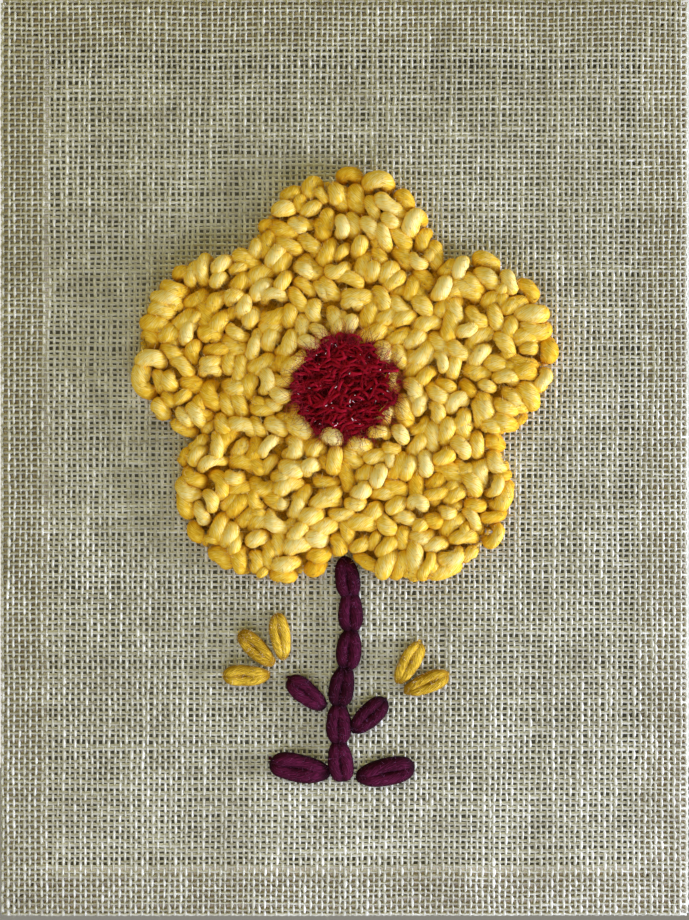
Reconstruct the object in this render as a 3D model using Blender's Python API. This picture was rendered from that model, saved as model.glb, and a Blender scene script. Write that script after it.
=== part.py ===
# Punch needle wall piece: burlap stretched over a wooden bar frame and worked with a flower.
# The panel hangs upright with its worked face towards -Y. The origin is the middle of the
# underside of the top bar, the place that rests on a nail. All sizes are in metres.

import math

import bmesh
import bpy
import numpy as np

# Panel, cloth and bars
PANEL_WIDTH = 0.300
PANEL_HEIGHT = 0.400
CLOTH_THICKNESS = 0.0010
TURN_BACK = 0.0150
TURN_BACK_WANDER = 0.0012
EDGE_ROUND = 0.0022
CORNER_ROUND = 0.0025
SMALLEST_CORNER = 0.0005
BAR_WIDTH = 0.0180
BAR_DEPTH = 0.0180
BAR_EDGE_ROUND = 0.0010
GAP = 0.0003

# Loop pile of the bloom: yellow petals round a burgundy middle
BLOOM_RISE = 0.030
PETALS = 5
PETAL_TIP = 0.092
PETAL_VALLEY = 0.066
PETAL_ROUNDNESS = 0.7
MIDDLE_RADIUS = 0.0215
LOOP_PITCH = 0.0081
LOOP_TOP = 0.0098
LOOP_TOP_SPREAD = 0.0011
LOOP_FOOT = 0.0062
LOOP_WANDER = 0.0007
RIDGE_SHARE = 0.42
RIM_OVERHANG = 0.0012
NEAR_MIDDLE = 1.4 * MIDDLE_RADIUS
MIDDLE_LOOP_PITCH = 0.0052
MIDDLE_LOOP_TOP = 0.0084
MIDDLE_LOOP_FOOT = 0.0056

# Chain stitches of the stem, its side shoots, leaves and buds
STEM_TOP = -0.045
STEM_LINKS = 6
STEM_SWAY = 0.0030
LINK_LENGTH = 0.0160
LINK_WIDTH = 0.0114
LINK_HEIGHT = 0.0048
BUD_LINK_LENGTH = 0.0200
BUD_LINK_WIDTH = 0.0092
BUD_LINK_HEIGHT = 0.0050
BUD_ROOT_RADIUS = 0.0078
STITCH_SPACE = 0.0012

# Flat stitches on the back of the cloth
REVERSE_HEIGHT = 0.0018
REVERSE_WIDTH = 0.0042
REVERSE_MARGIN = 0.0010
REVERSE_SIDES = 90

HALF_WIDTH = PANEL_WIDTH / 2
HALF_HEIGHT = PANEL_HEIGHT / 2
BAR_INSET = CLOTH_THICKNESS + GAP
FACE_Y = -(BAR_DEPTH / 2 + BAR_INSET)
BACK_Y = -FACE_Y
REVERSE_Y = FACE_Y + CLOTH_THICKNESS
PANEL_MIDDLE_Z = -(HALF_HEIGHT - BAR_INSET - BAR_WIDTH)
PILE_Y = FACE_Y - GAP

# One stitch beside the stem in each row: name, side of the stem (-1 left, 1 right), how far
# below the panel's middle it starts, the way it points, its length, its width
SIDE_STITCHES = (
    ("shoot_left", -1, 0.108, 140, 0.020, 0.0104),
    ("shoot_right", 1, 0.118, 42, 0.020, 0.0104),
    ("leaf_left", -1, 0.137, 168, 0.026, 0.0124),
    ("leaf_right", 1, 0.139, 14, 0.025, 0.0124),
)

# One bud in each row: name, the shoot that it grows from, the ways its stitches point
BUDS = (
    ("bud_left", "shoot_left", (96, 138, 180)),
    ("bud_right", "shoot_right", (20, 62)),
)

# Width and height of a chain link along its length, as shares of the full size
LINK_PROFILE = (
    (0.00, 0.50, 0.45),
    (0.22, 0.84, 0.90),
    (0.50, 1.00, 1.00),
    (0.78, 0.93, 0.94),
    (1.00, 0.56, 0.50),
)

# Half section of a chain link: share of the half width, share of the height
LINK_SECTION = (
    (0.00, 0.60),
    (0.42, 1.00),
    (0.80, 0.80),
    (1.00, 0.34),
    (0.78, 0.00),
)

# Half section of a flat stitch on the back
REVERSE_SECTION = (
    (0.00, 1.00),
    (0.60, 0.85),
    (1.00, 0.30),
    (0.80, 0.00),
)


def clear_scene():
    for old in list(bpy.data.objects):
        bpy.data.objects.remove(old, do_unlink=True)


def make_material(name, color, roughness):
    material = bpy.data.materials.new(name)
    material.use_nodes = True
    shader = material.node_tree.nodes["Principled BSDF"]
    shader.inputs["Base Color"].default_value = (*color, 1.0)
    shader.inputs["Roughness"].default_value = roughness
    shader.inputs["Metallic"].default_value = 0.0
    material.diffuse_color = (*color, 1.0)
    return material


def finish_piece(name, shape, material, smooth_angle=50):
    """Closes a bmesh's normals outwards and links it to the scene as one named object."""
    bmesh.ops.recalc_face_normals(shape, faces=shape.faces[:])
    mesh = bpy.data.meshes.new(name)
    shape.to_mesh(mesh)
    shape.free()
    mesh.shade_smooth()
    mesh.set_sharp_from_angle(angle=math.radians(smooth_angle))
    mesh.materials.append(material)
    piece = bpy.data.objects.new(name, mesh)
    bpy.context.collection.objects.link(piece)
    return piece


def lay_on_cloth(piece, face_y, height=0.0):
    """Stands a piece drawn flat on the cloth: its x stays, its y points up, its z to the front."""
    piece.rotation_euler = (math.radians(90), 0.0, 0.0)
    piece.location = (0.0, face_y, PANEL_MIDDLE_Z + height)


def bridge_rings(shape, rings):
    """Joins each ring of vertices to the next with quads."""
    for first, second in zip(rings, rings[1:]):
        count = len(first)
        for index in range(count):
            after = (index + 1) % count
            shape.faces.new((first[index], first[after], second[after], second[index]))


def panel_outline(inset, wander=0.0, side_steps=14, corner_steps=3):
    """A rounded rectangle, inset from the panel's outline, whose sides may wander a little."""
    half_width = HALF_WIDTH - inset
    half_height = HALF_HEIGHT - inset
    radius = max(CORNER_ROUND - inset, SMALLEST_CORNER)
    corners = ((1, 1), (-1, 1), (-1, -1), (1, -1))
    points = []
    for number, (side_x, side_z) in enumerate(corners):
        middle = np.array((side_x * (half_width - radius), side_z * (half_height - radius)))
        for step in range(corner_steps + 1):
            angle = math.radians(90 * number + 90 * step / corner_steps)
            points.append(middle + radius * np.array((math.cos(angle), math.sin(angle))))
        start = points[-1]
        next_x, next_z = corners[(number + 1) % 4]
        turn = math.radians(90 * (number + 1))
        outwards = np.array((math.cos(turn), math.sin(turn)))
        end = np.array((next_x * (half_width - radius), next_z * (half_height - radius)))
        end = end + radius * outwards
        for step in range(1, side_steps):
            share = step / side_steps
            swing = math.sin(math.pi * share) * math.sin(9.0 * share + 2.1 * number)
            points.append(start + (end - start) * share + outwards * wander * swing)
    return points


def edge_bend(radius, angles, start_y, way):
    """Rows of a quarter bend: 0 degrees lies on the panel's face, 90 degrees on its side."""
    rows = []
    for angle in angles:
        bend = math.radians(angle)
        depth = radius * (1 - math.cos(bend))
        rows.append((EDGE_ROUND - radius * math.sin(bend), start_y + way * depth, 0.0))
    return rows


def cloth_section():
    """The cloth's section at the panel's edge, as (inset, y, wander): outside, then inside."""
    hem = BAR_INSET + TURN_BACK
    inner_round = EDGE_ROUND - CLOTH_THICKNESS
    inner_back_y = BACK_Y - CLOTH_THICKNESS
    rows = edge_bend(EDGE_ROUND, (0, 30, 60, 90), FACE_Y, 1)
    rows += edge_bend(EDGE_ROUND, (90, 45, 0), BACK_Y, -1)
    rows.append((hem, BACK_Y, TURN_BACK_WANDER))
    rows.append((hem, inner_back_y, TURN_BACK_WANDER))
    rows += edge_bend(inner_round, (0, 45, 90), inner_back_y, -1)
    rows += edge_bend(inner_round, (90, 45, 0), REVERSE_Y, 1)
    return rows


def build_cloth(material):
    """Front panel, wrapped sides and turn-back as one sheet with rounded edges."""
    shape = bmesh.new()
    rings = []
    for inset, y, wander in cloth_section():
        outline = panel_outline(inset, wander)
        rings.append([shape.verts.new((x, y, z)) for x, z in outline])
    bridge_rings(shape, rings)
    shape.faces.new(rings[0])
    shape.faces.new(rings[-1])
    piece = finish_piece("burlap", shape, material, smooth_angle=40)
    piece.location = (0.0, 0.0, PANEL_MIDDLE_Z)
    return piece


def build_bar(name, length, turn, distance, material):
    """A mitred bar, drawn along X with its long face upwards, then turned round the panel."""
    shape = bmesh.new()
    mitre_gap = GAP / math.sqrt(2)
    long_half = length / 2 - mitre_gap
    short_half = long_half - BAR_WIDTH
    low = -BAR_WIDTH / 2
    high = BAR_WIDTH / 2
    rings = []
    for y in (-BAR_DEPTH / 2, BAR_DEPTH / 2):
        corners = ((-short_half, low), (short_half, low), (long_half, high), (-long_half, high))
        rings.append([shape.verts.new((x, y, z)) for x, z in corners])
    bridge_rings(shape, rings)
    shape.faces.new(rings[0])
    shape.faces.new(rings[1])
    piece = finish_piece(name, shape, material, smooth_angle=35)
    bevel = piece.modifiers.new("Rounded edges", "BEVEL")
    bevel.width = BAR_EDGE_ROUND
    bevel.segments = 2
    bevel.limit_method = "ANGLE"
    angle = math.radians(turn)
    piece.rotation_euler = (0.0, angle, 0.0)
    piece.location = (distance * math.sin(angle), 0.0, PANEL_MIDDLE_Z + distance * math.cos(angle))
    return piece


def build_bars(material):
    across = PANEL_WIDTH - 2 * BAR_INSET
    upright = PANEL_HEIGHT - 2 * BAR_INSET
    build_bar("bar_top", across, 0, upright / 2 - BAR_WIDTH / 2, material)
    build_bar("bar_right", upright, 90, across / 2 - BAR_WIDTH / 2, material)
    build_bar("bar_bottom", across, 180, upright / 2 - BAR_WIDTH / 2, material)
    build_bar("bar_left", upright, 270, across / 2 - BAR_WIDTH / 2, material)


def petal_outline(angle):
    """The bloom's radius at an angle: round petals with one upright, and a valley below."""
    wave = abs(math.cos(PETALS / 2 * (angle - math.pi / 2)))
    return PETAL_VALLEY + (PETAL_TIP - PETAL_VALLEY) * wave ** PETAL_ROUNDNESS


def hexagon_cells(pitch, reach, belongs):
    """Middles and shared corners of the honeycomb cells whose middles belong to the shape."""
    side = pitch / math.sqrt(3)
    row_height = pitch * math.sqrt(3) / 2
    rows = int(reach / row_height) + 1
    columns = int(reach / pitch) + 1
    corner_numbers = {}
    corners = []
    cells = []
    for row in range(-rows, rows + 1):
        for column in range(-columns, columns + 1):
            x = pitch * (column + 0.5 * (row % 2))
            y = row_height * row
            if not belongs(x, y):
                continue
            ring = []
            for step in range(6):
                angle = math.radians(60 * step + 30)
                corner = (x + side * math.cos(angle), y + side * math.sin(angle))
                key = (round(corner[0], 5), round(corner[1], 5))
                if key not in corner_numbers:
                    corner_numbers[key] = len(corners)
                    corners.append(corner)
                ring.append(corner_numbers[key])
            cells.append(((x, y), ring))
    return corners, cells


def rim_edges(shape):
    return [edge for edge in shape.edges if len(edge.link_faces) == 1]


def round_near_middle(corners, cells, radius):
    """Draws the rim corners that lie near the bloom's middle onto one round line."""
    uses = np.zeros(len(corners), dtype=int)
    for _, ring in cells:
        uses[ring] += 1
    rounded = []
    for (x, y), count in zip(corners, uses):
        distance = math.hypot(x, y)
        if count < 3 and distance < NEAR_MIDDLE:
            x, y = x * radius / distance, y * radius / distance
        rounded.append((x, y))
    return rounded


def build_pile(name, pitch, belongs, round_line, foot, top, material, seed):
    """A slab of loop pile: each honeycomb cell is one loop with a raised ridge, lumpy at the rim."""
    chance = np.random.default_rng(seed)
    corners, cells = hexagon_cells(pitch, PETAL_TIP, belongs)
    shape = bmesh.new()
    feet = []
    for x, y in round_near_middle(corners, cells, round_line):
        shift = chance.normal(0.0, LOOP_WANDER, 3)
        if math.hypot(x, y) < NEAR_MIDDLE:
            shift[:2] = 0.0
        feet.append(shape.verts.new((x + shift[0], y + shift[1], foot + shift[2])))
    for (x, y), ring in cells:
        turn = chance.integers(0, 3)
        order = [feet[ring[(turn + step) % 6]] for step in range(6)]
        rise = top + chance.uniform(-1.0, 1.0) * LOOP_TOP_SPREAD
        ridge = []
        for end in (order[0], order[3]):
            ridge_x = x + RIDGE_SHARE * (end.co.x - x)
            ridge_y = y + RIDGE_SHARE * (end.co.y - y)
            ridge.append(shape.verts.new((ridge_x, ridge_y, rise)))
        first, last = ridge
        shape.faces.new((first, order[5], order[0]))
        shape.faces.new((first, order[0], order[1]))
        shape.faces.new((first, order[1], order[2], last))
        shape.faces.new((last, order[2], order[3]))
        shape.faces.new((last, order[3], order[4]))
        shape.faces.new((last, order[4], order[5], first))
    drop_rim(shape, RIM_OVERHANG, 0.45 * foot)
    drop_rim(shape, -RIM_OVERHANG, 0.0)
    bmesh.ops.triangle_fill(shape, use_beauty=True, edges=rim_edges(shape))
    return finish_piece(name, shape, material, smooth_angle=70)


def drop_rim(shape, swell, level):
    """Extrudes the open rim down to a level, and moves it outwards where it is the outer rim."""
    edges = rim_edges(shape)
    outwards = {}
    for edge in edges:
        away = (edge.verts[0].co + edge.verts[1].co) / 2 - edge.link_faces[0].calc_center_median()
        away.z = 0.0
        for vertex in edge.verts:
            outwards[vertex] = outwards.get(vertex, away * 0.0) + away.normalized()
    result = bmesh.ops.extrude_edge_only(shape, edges=edges)
    dropped = [item for item in result["geom"] if isinstance(item, bmesh.types.BMVert)]
    for vertex in dropped:
        above = [edge.other_vert(vertex) for edge in vertex.link_edges]
        source = [other for other in above if other in outwards][0]
        if math.hypot(source.co.x, source.co.y) > NEAR_MIDDLE:
            vertex.co += outwards[source].normalized() * swell
        vertex.co.z = level


def build_bloom(petal_material, middle_material):
    def in_petals(x, y):
        rim = petal_outline(math.atan2(y, x)) - LOOP_PITCH / 2
        return MIDDLE_RADIUS + LOOP_PITCH / 2 < math.hypot(x, y) < rim

    def in_middle(x, y):
        return math.hypot(x, y) < MIDDLE_RADIUS - MIDDLE_LOOP_PITCH / 2

    petals = build_pile("bloom_pile", LOOP_PITCH, in_petals, MIDDLE_RADIUS + 2 * GAP,
                        LOOP_FOOT, LOOP_TOP, petal_material, seed=4)
    lay_on_cloth(petals, PILE_Y, BLOOM_RISE)
    middle = build_pile("middle_pile", MIDDLE_LOOP_PITCH, in_middle, MIDDLE_RADIUS,
                        MIDDLE_LOOP_FOOT, MIDDLE_LOOP_TOP, middle_material, seed=9)
    lay_on_cloth(middle, PILE_Y, BLOOM_RISE)


def stem_middle(height):
    """How far the stem stands to the right at a height measured from the panel's middle."""
    share = (STEM_TOP - height) / (STEM_LINKS * LINK_LENGTH)
    return STEM_SWAY * math.sin(2 * math.pi * share)


def straight_route(start, angle, length, steps):
    direction = np.array((math.cos(math.radians(angle)), math.sin(math.radians(angle))))
    return [np.array(start) + direction * length * step for step in steps]


def stitch_row(name, middles, steps, width, height, section, material, face_y):
    """A loft along a row of middles: mirrored half section, pinched where the links meet."""
    shape = bmesh.new()
    rings = []
    last = len(middles) - 1
    outline = list(section) + [(-across, rise) for across, rise in reversed(section[1:])]
    for index, middle in enumerate(middles):
        ahead = middles[min(index + 1, last)] - middles[max(index - 1, 0)]
        ahead = ahead / np.linalg.norm(ahead)
        beside = np.array((-ahead[1], ahead[0]))
        wide, high = steps[index]
        ring = []
        for across, rise in outline:
            spot = middle + beside * across * wide * width / 2
            ring.append(shape.verts.new((spot[0], spot[1], rise * high * height)))
        rings.append(ring)
    bridge_rings(shape, rings)
    shape.faces.new(rings[0])
    shape.faces.new(rings[-1])
    piece = finish_piece(name, shape, material, smooth_angle=60)
    lay_on_cloth(piece, face_y)
    return piece


def build_stitch(name, start, angle, length, width, height, material):
    """One chain link on the front and the flat stitch that belongs to it on the back."""
    route = straight_route(start, angle, length, [row[0] for row in LINK_PROFILE])
    steps = [row[1:] for row in LINK_PROFILE]
    stitch_row(name, route, steps, width, height, LINK_SECTION, material, PILE_Y)
    build_reverse_stitch(name, route, material)


def build_reverse_stitch(name, route, material):
    ends = (0.55, 1.0, 1.0, 1.0, 0.55)
    route = [route[0] + (route[-1] - route[0]) * share for share in (0.0, 0.1, 0.5, 0.9, 1.0)]
    steps = [(share, share) for share in ends]
    stitch_row(name + "_reverse", route, steps, REVERSE_WIDTH, -REVERSE_HEIGHT,
               REVERSE_SECTION, material, REVERSE_Y + GAP)


def build_stem(material):
    middles = []
    steps = []
    for link in range(STEM_LINKS):
        rows = LINK_PROFILE if link == 0 else LINK_PROFILE[1:]
        for along, wide, high in rows:
            height = STEM_TOP - (link + along) * LINK_LENGTH
            middles.append(np.array((stem_middle(height), height)))
            steps.append((wide, high))
    stitch_row("stem", middles, steps, LINK_WIDTH, LINK_HEIGHT, LINK_SECTION, material, PILE_Y)
    back_steps = [(1.0, 1.0)] * len(middles)
    stitch_row("stem_reverse", middles, back_steps, REVERSE_WIDTH, -REVERSE_HEIGHT,
               REVERSE_SECTION, material, REVERSE_Y + GAP)


def build_shoots_and_buds(stem_material, bud_material):
    ends = {}
    for name, side, drop, angle, length, width in SIDE_STITCHES:
        start_x = stem_middle(-drop) + side * (LINK_WIDTH / 2 + STITCH_SPACE)
        start = (start_x, -drop)
        build_stitch(name, start, angle, length, width, LINK_HEIGHT, stem_material)
        ends[name] = straight_route(start, angle, length + STITCH_SPACE, [1.0])[0]
    for name, shoot, angles in BUDS:
        for number, angle in enumerate(angles, start=1):
            root = straight_route(ends[shoot], angle, BUD_ROOT_RADIUS, [1.0])[0]
            build_stitch(f"{name}_{number}", root, angle, BUD_LINK_LENGTH, BUD_LINK_WIDTH,
                         BUD_LINK_HEIGHT, bud_material)


def build_reverse_slab(name, outer, inner, material):
    """A thin slab of flat stitches: an outline, with a hole where an inner outline is given."""
    shape = bmesh.new()
    angles = [2 * math.pi * step / REVERSE_SIDES for step in range(REVERSE_SIDES)]
    levels = ((0.0, 0.0), (0.0, -0.6 * REVERSE_HEIGHT), (REVERSE_MARGIN, -REVERSE_HEIGHT))

    def ring(radius_at, shift, level):
        row = []
        for angle in angles:
            radius = radius_at(angle) + shift
            row.append(shape.verts.new((radius * math.cos(angle), radius * math.sin(angle), level)))
        return row

    outer_rings = [ring(outer, -shrink, level) for shrink, level in levels]
    if inner is None:
        bridge_rings(shape, outer_rings)
        shape.faces.new(outer_rings[0])
        shape.faces.new(outer_rings[-1])
    else:
        inner_rings = [ring(inner, shrink, level) for shrink, level in reversed(levels)]
        rings = outer_rings + inner_rings
        bridge_rings(shape, rings + rings[:1])
    piece = finish_piece(name, shape, material)
    lay_on_cloth(piece, REVERSE_Y + GAP, BLOOM_RISE)


def build_bloom_reverse(petal_material, middle_material):
    def petals(angle):
        return petal_outline(angle)

    def hole(angle):
        return MIDDLE_RADIUS + GAP

    def middle(angle):
        return MIDDLE_RADIUS

    build_reverse_slab("bloom_reverse", petals, hole, petal_material)
    build_reverse_slab("middle_reverse", middle, None, middle_material)


def main():
    clear_scene()
    burlap = make_material("natural burlap", (0.46, 0.42, 0.30), 0.9)
    pine = make_material("bare pine", (0.60, 0.42, 0.24), 0.6)
    yellow = make_material("yellow wool", (0.78, 0.48, 0.07), 0.95)
    burgundy = make_material("burgundy mohair", (0.16, 0.006, 0.014), 0.85)
    plum = make_material("plum wool", (0.065, 0.008, 0.026), 0.9)
    build_cloth(burlap)
    build_bars(pine)
    build_bloom(yellow, burgundy)
    build_stem(plum)
    build_shoots_and_buds(plum, yellow)
    build_bloom_reverse(yellow, burgundy)


main()
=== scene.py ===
"""Looks of a hung punch needle panel: woven burlap, wooden bars, loop pile and chain stitches."""
import math

import bpy
import numpy as np
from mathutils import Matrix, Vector


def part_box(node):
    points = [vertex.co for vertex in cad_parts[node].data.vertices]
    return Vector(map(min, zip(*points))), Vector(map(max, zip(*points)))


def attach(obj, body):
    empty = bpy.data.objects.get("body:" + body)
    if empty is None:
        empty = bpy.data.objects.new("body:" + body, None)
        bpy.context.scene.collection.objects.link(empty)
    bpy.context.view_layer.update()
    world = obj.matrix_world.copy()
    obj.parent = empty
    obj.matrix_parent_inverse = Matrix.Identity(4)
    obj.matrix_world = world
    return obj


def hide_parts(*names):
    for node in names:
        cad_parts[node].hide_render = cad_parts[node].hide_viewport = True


bl_info = {
    "name": "Punch needle wall piece",
    "version": (1, 0, 0),
    "blender": (4, 5, 0),
    "location": "3D View > Sidebar > Wall piece",
    "description": "Dresses a stretched burlap panel with woven threads, loop pile and stitches",
    "category": "Add Mesh",
}

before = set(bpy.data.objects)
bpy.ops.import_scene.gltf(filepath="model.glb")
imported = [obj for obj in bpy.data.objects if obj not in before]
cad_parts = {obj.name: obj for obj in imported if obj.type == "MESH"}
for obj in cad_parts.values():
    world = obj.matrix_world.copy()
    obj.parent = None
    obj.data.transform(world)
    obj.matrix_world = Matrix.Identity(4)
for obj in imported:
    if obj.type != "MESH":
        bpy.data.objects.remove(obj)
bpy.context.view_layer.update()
MM = 0.001


def middle_and_half(node):
    """Middle and half size of a node of the frame."""
    low, high = (np.array(corner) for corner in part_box(node))
    return (low + high) / 2, (high - low) / 2


CLOTH_MIDDLE, CLOTH_HALF = middle_and_half("burlap")
BLOOM_MIDDLE, BLOOM_HALF = middle_and_half("middle_pile")
FRONT_Y = CLOTH_MIDDLE[1] - CLOTH_HALF[1]
BACK_Y = CLOTH_MIDDLE[1] + CLOTH_HALF[1]
MIDDLE_RADIUS = BLOOM_HALF[0]
OUT_OF_FRONT = np.array((0.0, -1.0, 0.0))
BARS = ("bar_top", "bar_right", "bar_bottom", "bar_left")

# Waves of the stretched edges: wavelength in metres, phase in radians and share of the pull
BOTTOM_WAVE = (0.083, 0.4, -1.0)
TOP_WAVE = (0.071, 2.2, 1.0)
LEFT_WAVE = (0.094, 1.1, 0.7)
RIGHT_WAVE = (0.077, 3.0, 0.6)

# How far a thread strays from its place: as a whole, in long waves and in short ones
WHOLE_WANDER = 0.09 * MM
LONG_WANDER = 0.15 * MM
SHORT_WANDER_X = 0.11 * MM
SHORT_WANDER_Z = 0.10 * MM

# Heights above the cloth in which the tone of a yarn rises, each with the tone added there
# These paint shade low between the loops and highlight on the crests.
BLOOM_PAINTED_SHADING = ((4.5 * MM, -0.40), (9.6 * MM, 0.26))
MIDDLE_PAINTED_SHADING = ((4.5 * MM, -0.50), (8.5 * MM, 0.15))
PLUM_PAINTED_SHADING = ((1.0 * MM, -0.70), (4.8 * MM, 0.12))
BUD_PAINTED_SHADING = ((1.7 * MM, -0.90), (4.8 * MM, -0.25))

# Fibre lines of a yarn: width across the yarn and length along it, in centimetres
THICK_YARN_LINES = (0.030, 0.30)
CHAIN_YARN_LINES = (0.028, 0.32)
THIN_YARN_LINES = (0.02, 0.2)
JUTE_LINES = (0.025, 0.5)

# Pale ends of the yarns' and hairs' colours that the settings don't hold
# Where a tone follows height, a pale end is partly painted highlight and a dark end partly painted
# shade.
MOHAIR_PALE_AND_HIGHLIGHT = (0.54, 0.010, 0.034)
PLUM_PALE_AND_HIGHLIGHT = (0.145, 0.011, 0.048)
YELLOW_HAIR = ((0.24, 0.09, 0.004), (0.96, 0.74, 0.20))
MOHAIR_HAIR = ((0.10, 0.003, 0.003), (0.50, 0.012, 0.028))
PLUM_HAIR_TIP = (0.30, 0.10, 0.20)
BUD_HAIR_TIP = (1.0, 0.92, 0.62)

# Stations and sides of the swept yarns
LOOP_STATIONS, LOOP_SIDES = 16, 12
THIN_LOOP_STATIONS, THIN_LOOP_SIDES = 11, 6
LINK_STATIONS, LINK_SIDES = 40, 14
FLAT_STATIONS, FLAT_SIDES = 6, 6

# Lights: name, place from the panel's middle, depth aimed at, size, watts and colour
LIGHTS = (
    ("window light", (0.85, -0.19, -0.14), FRONT_Y, (0.20, 0.32), 15.8, (0.575, 0.635, 1.0)),
    ("warm fill", (-0.30, -0.80, 0.55), FRONT_Y, (0.8, 0.7), 2.5, (1.0, 0.93, 0.36)),
    ("low fill", (0.05, -0.34, -0.46), FRONT_Y, (0.5, 0.15), 2.1, (0.57, 0.63, 1.0)),
    ("back light", (0.3, 1.3, 0.7), 0.0, (1.6, 1.6), 30.0, (0.96, 0.97, 1.0)),
)
ROOM_GLOW = (1.0, 0.968, 0.83, 1.0)
ROOM_STRENGTH = 0.27
BACKDROP = (0.78, 0.77, 0.74, 1.0)
FLOOR_COLOR = (0.85, 0.84, 0.82)
FLOOR_HALF = 4.0
# Place of the dark card of painted shade behind the weave.
CARD_DEPTH = 7 * MM
CARD_GAP = 0.3 * MM

# Straight chain stitches: node, the way it points in degrees, its length and its width
SIDE_LINKS = (
    ("shoot_left", 140, 0.0200, 0.0104),
    ("shoot_right", 42, 0.0200, 0.0104),
    ("leaf_left", 168, 0.0260, 0.0124),
    ("leaf_right", 14, 0.0250, 0.0124),
)
BUD_LINKS = (
    ("bud_left_1", 96, 0.0200, 0.0092),
    ("bud_left_2", 138, 0.0200, 0.0092),
    ("bud_left_3", 180, 0.0200, 0.0092),
    ("bud_right_1", 20, 0.0200, 0.0092),
    ("bud_right_2", 62, 0.0200, 0.0092),
)


class ClothSettings(bpy.types.PropertyGroup):
    columns: bpy.props.IntProperty(
        name="Upright threads", description="Threads across the face", default=121, min=20)
    rows: bpy.props.IntProperty(
        name="Level threads", description="Threads down the face", default=173, min=20)
    thread_width: bpy.props.FloatProperty(
        name="Thread width", description="Width of one flattened thread",
        default=1.30 * MM, unit="LENGTH", precision=5)
    thread_height: bpy.props.FloatProperty(
        name="Thread height", description="Thickness of one flattened thread",
        default=0.83 * MM, unit="LENGTH", precision=5)
    wave: bpy.props.FloatProperty(
        name="Wave", description="How far a thread rises and sinks at the crossings",
        default=0.33 * MM, unit="LENGTH", precision=5)
    thickness: bpy.props.FloatProperty(
        name="Cloth thickness", description="Thickness of the woven cloth",
        default=1.0 * MM, unit="LENGTH", precision=5)
    turn_back: bpy.props.FloatProperty(
        name="Turn-back", description="Width of the strip turned onto the frame's back",
        default=16.3 * MM, unit="LENGTH", precision=5)
    edge_round: bpy.props.FloatProperty(
        name="Edge round", description="Outer radius of the cloth at the frame's edges",
        default=2.2 * MM, unit="LENGTH", precision=5)
    pull: bpy.props.FloatProperty(
        name="Pull of the tacks", description="How far the stretched edge threads bow",
        default=0.9 * MM, unit="LENGTH", precision=5)
    hairs: bpy.props.IntProperty(
        name="Stray fibres", description="Fibres that stand off the cloth", default=2400, min=0)
    color: bpy.props.FloatVectorProperty(
        name="Jute", description="Colour of the cloth's threads",
        subtype="COLOR", size=3, min=0, max=1, default=(0.60, 0.572, 0.375))


class BloomSettings(bpy.types.PropertyGroup):
    petals: bpy.props.IntProperty(
        name="Petals", description="Petals of the bloom", default=5, min=3)
    petal_tip: bpy.props.FloatProperty(
        name="Petal tip", description="Distance of a petal's tip from the middle",
        default=92 * MM, unit="LENGTH", precision=5)
    petal_valley: bpy.props.FloatProperty(
        name="Petal valley", description="Distance of a valley between petals",
        default=66 * MM, unit="LENGTH", precision=5)
    roundness: bpy.props.FloatProperty(
        name="Petal roundness", description="Power that rounds the petals", default=0.7)
    loop_area: bpy.props.FloatProperty(
        name="Area of a loop", description="Cloth that one loop covers, in square metres",
        default=61 * MM * MM, precision=7)
    yarn_radius: bpy.props.FloatProperty(
        name="Yarn radius", description="Radius of the thick yellow yarn",
        default=3.42 * MM, unit="LENGTH", precision=5)
    loop_half: bpy.props.FloatProperty(
        name="Half loop length", description="Half the distance between a loop's shoulders",
        default=4.0 * MM, unit="LENGTH", precision=5)
    squeeze: bpy.props.FloatProperty(
        name="Squeeze", description="How far neighbouring loops squash each other's yarn",
        default=0.20)
    loop_height: bpy.props.FloatProperty(
        name="Loop height", description="Height of a loop's top above the cloth",
        default=9.6 * MM, unit="LENGTH", precision=5)
    hairs: bpy.props.IntProperty(
        name="Stray hairs", description="Long hairs that stand off the loops", default=900, min=0)
    fuzz: bpy.props.IntProperty(
        name="Fuzz", description="Short hairs all over the loops", default=18500, min=0)
    mat_height: bpy.props.FloatProperty(
        name="Mat height", description="Height of the loops' legs, where they stand close",
        default=3.6 * MM, unit="LENGTH", precision=5)
    color: bpy.props.FloatVectorProperty(
        name="Yellow wool", description="Colour of the petals' wool",
        subtype="COLOR", size=3, min=0, max=1, default=(0.93, 0.605, 0.042))
    # Deep yellow is partly painted shade: the loops turn to it low down between them.
    deep: bpy.props.FloatVectorProperty(
        name="Deep yellow", description="Colour of the wool deep between the loops",
        subtype="COLOR", size=3, min=0, max=1, default=(0.74, 0.36, 0.003))
    # Pale yellow is partly painted highlight: the loops turn to it on their crests.
    pale: bpy.props.FloatVectorProperty(
        name="Pale yellow", description="Colour of the wool on the crests of the loops",
        subtype="COLOR", size=3, min=0, max=1, default=(0.97, 0.82, 0.31))


class MiddleSettings(bpy.types.PropertyGroup):
    loops: bpy.props.IntProperty(
        name="Loops", description="Thin loops in the bloom's middle", default=480, min=10)
    yarn_radius: bpy.props.FloatProperty(
        name="Yarn radius", description="Radius of the thin hairy yarn",
        default=0.60 * MM, unit="LENGTH", precision=5)
    loop_height: bpy.props.FloatProperty(
        name="Loop height", description="Height of a loop's top above the cloth",
        default=8.2 * MM, unit="LENGTH", precision=5)
    hairs: bpy.props.IntProperty(
        name="Hairs", description="Long hairs of the yarn", default=3000, min=0)
    rim_hairs: bpy.props.IntProperty(
        name="Rim hairs", description="Hairs that reach over the petals", default=560, min=0)
    glints: bpy.props.IntProperty(
        name="Glints", description="Short lengths of the glitter thread", default=90, min=0)
    color: bpy.props.FloatVectorProperty(
        name="Burgundy mohair", description="Colour of the middle's yarn",
        subtype="COLOR", size=3, min=0, max=1, default=(0.27, 0.0012, 0.004))


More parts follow.
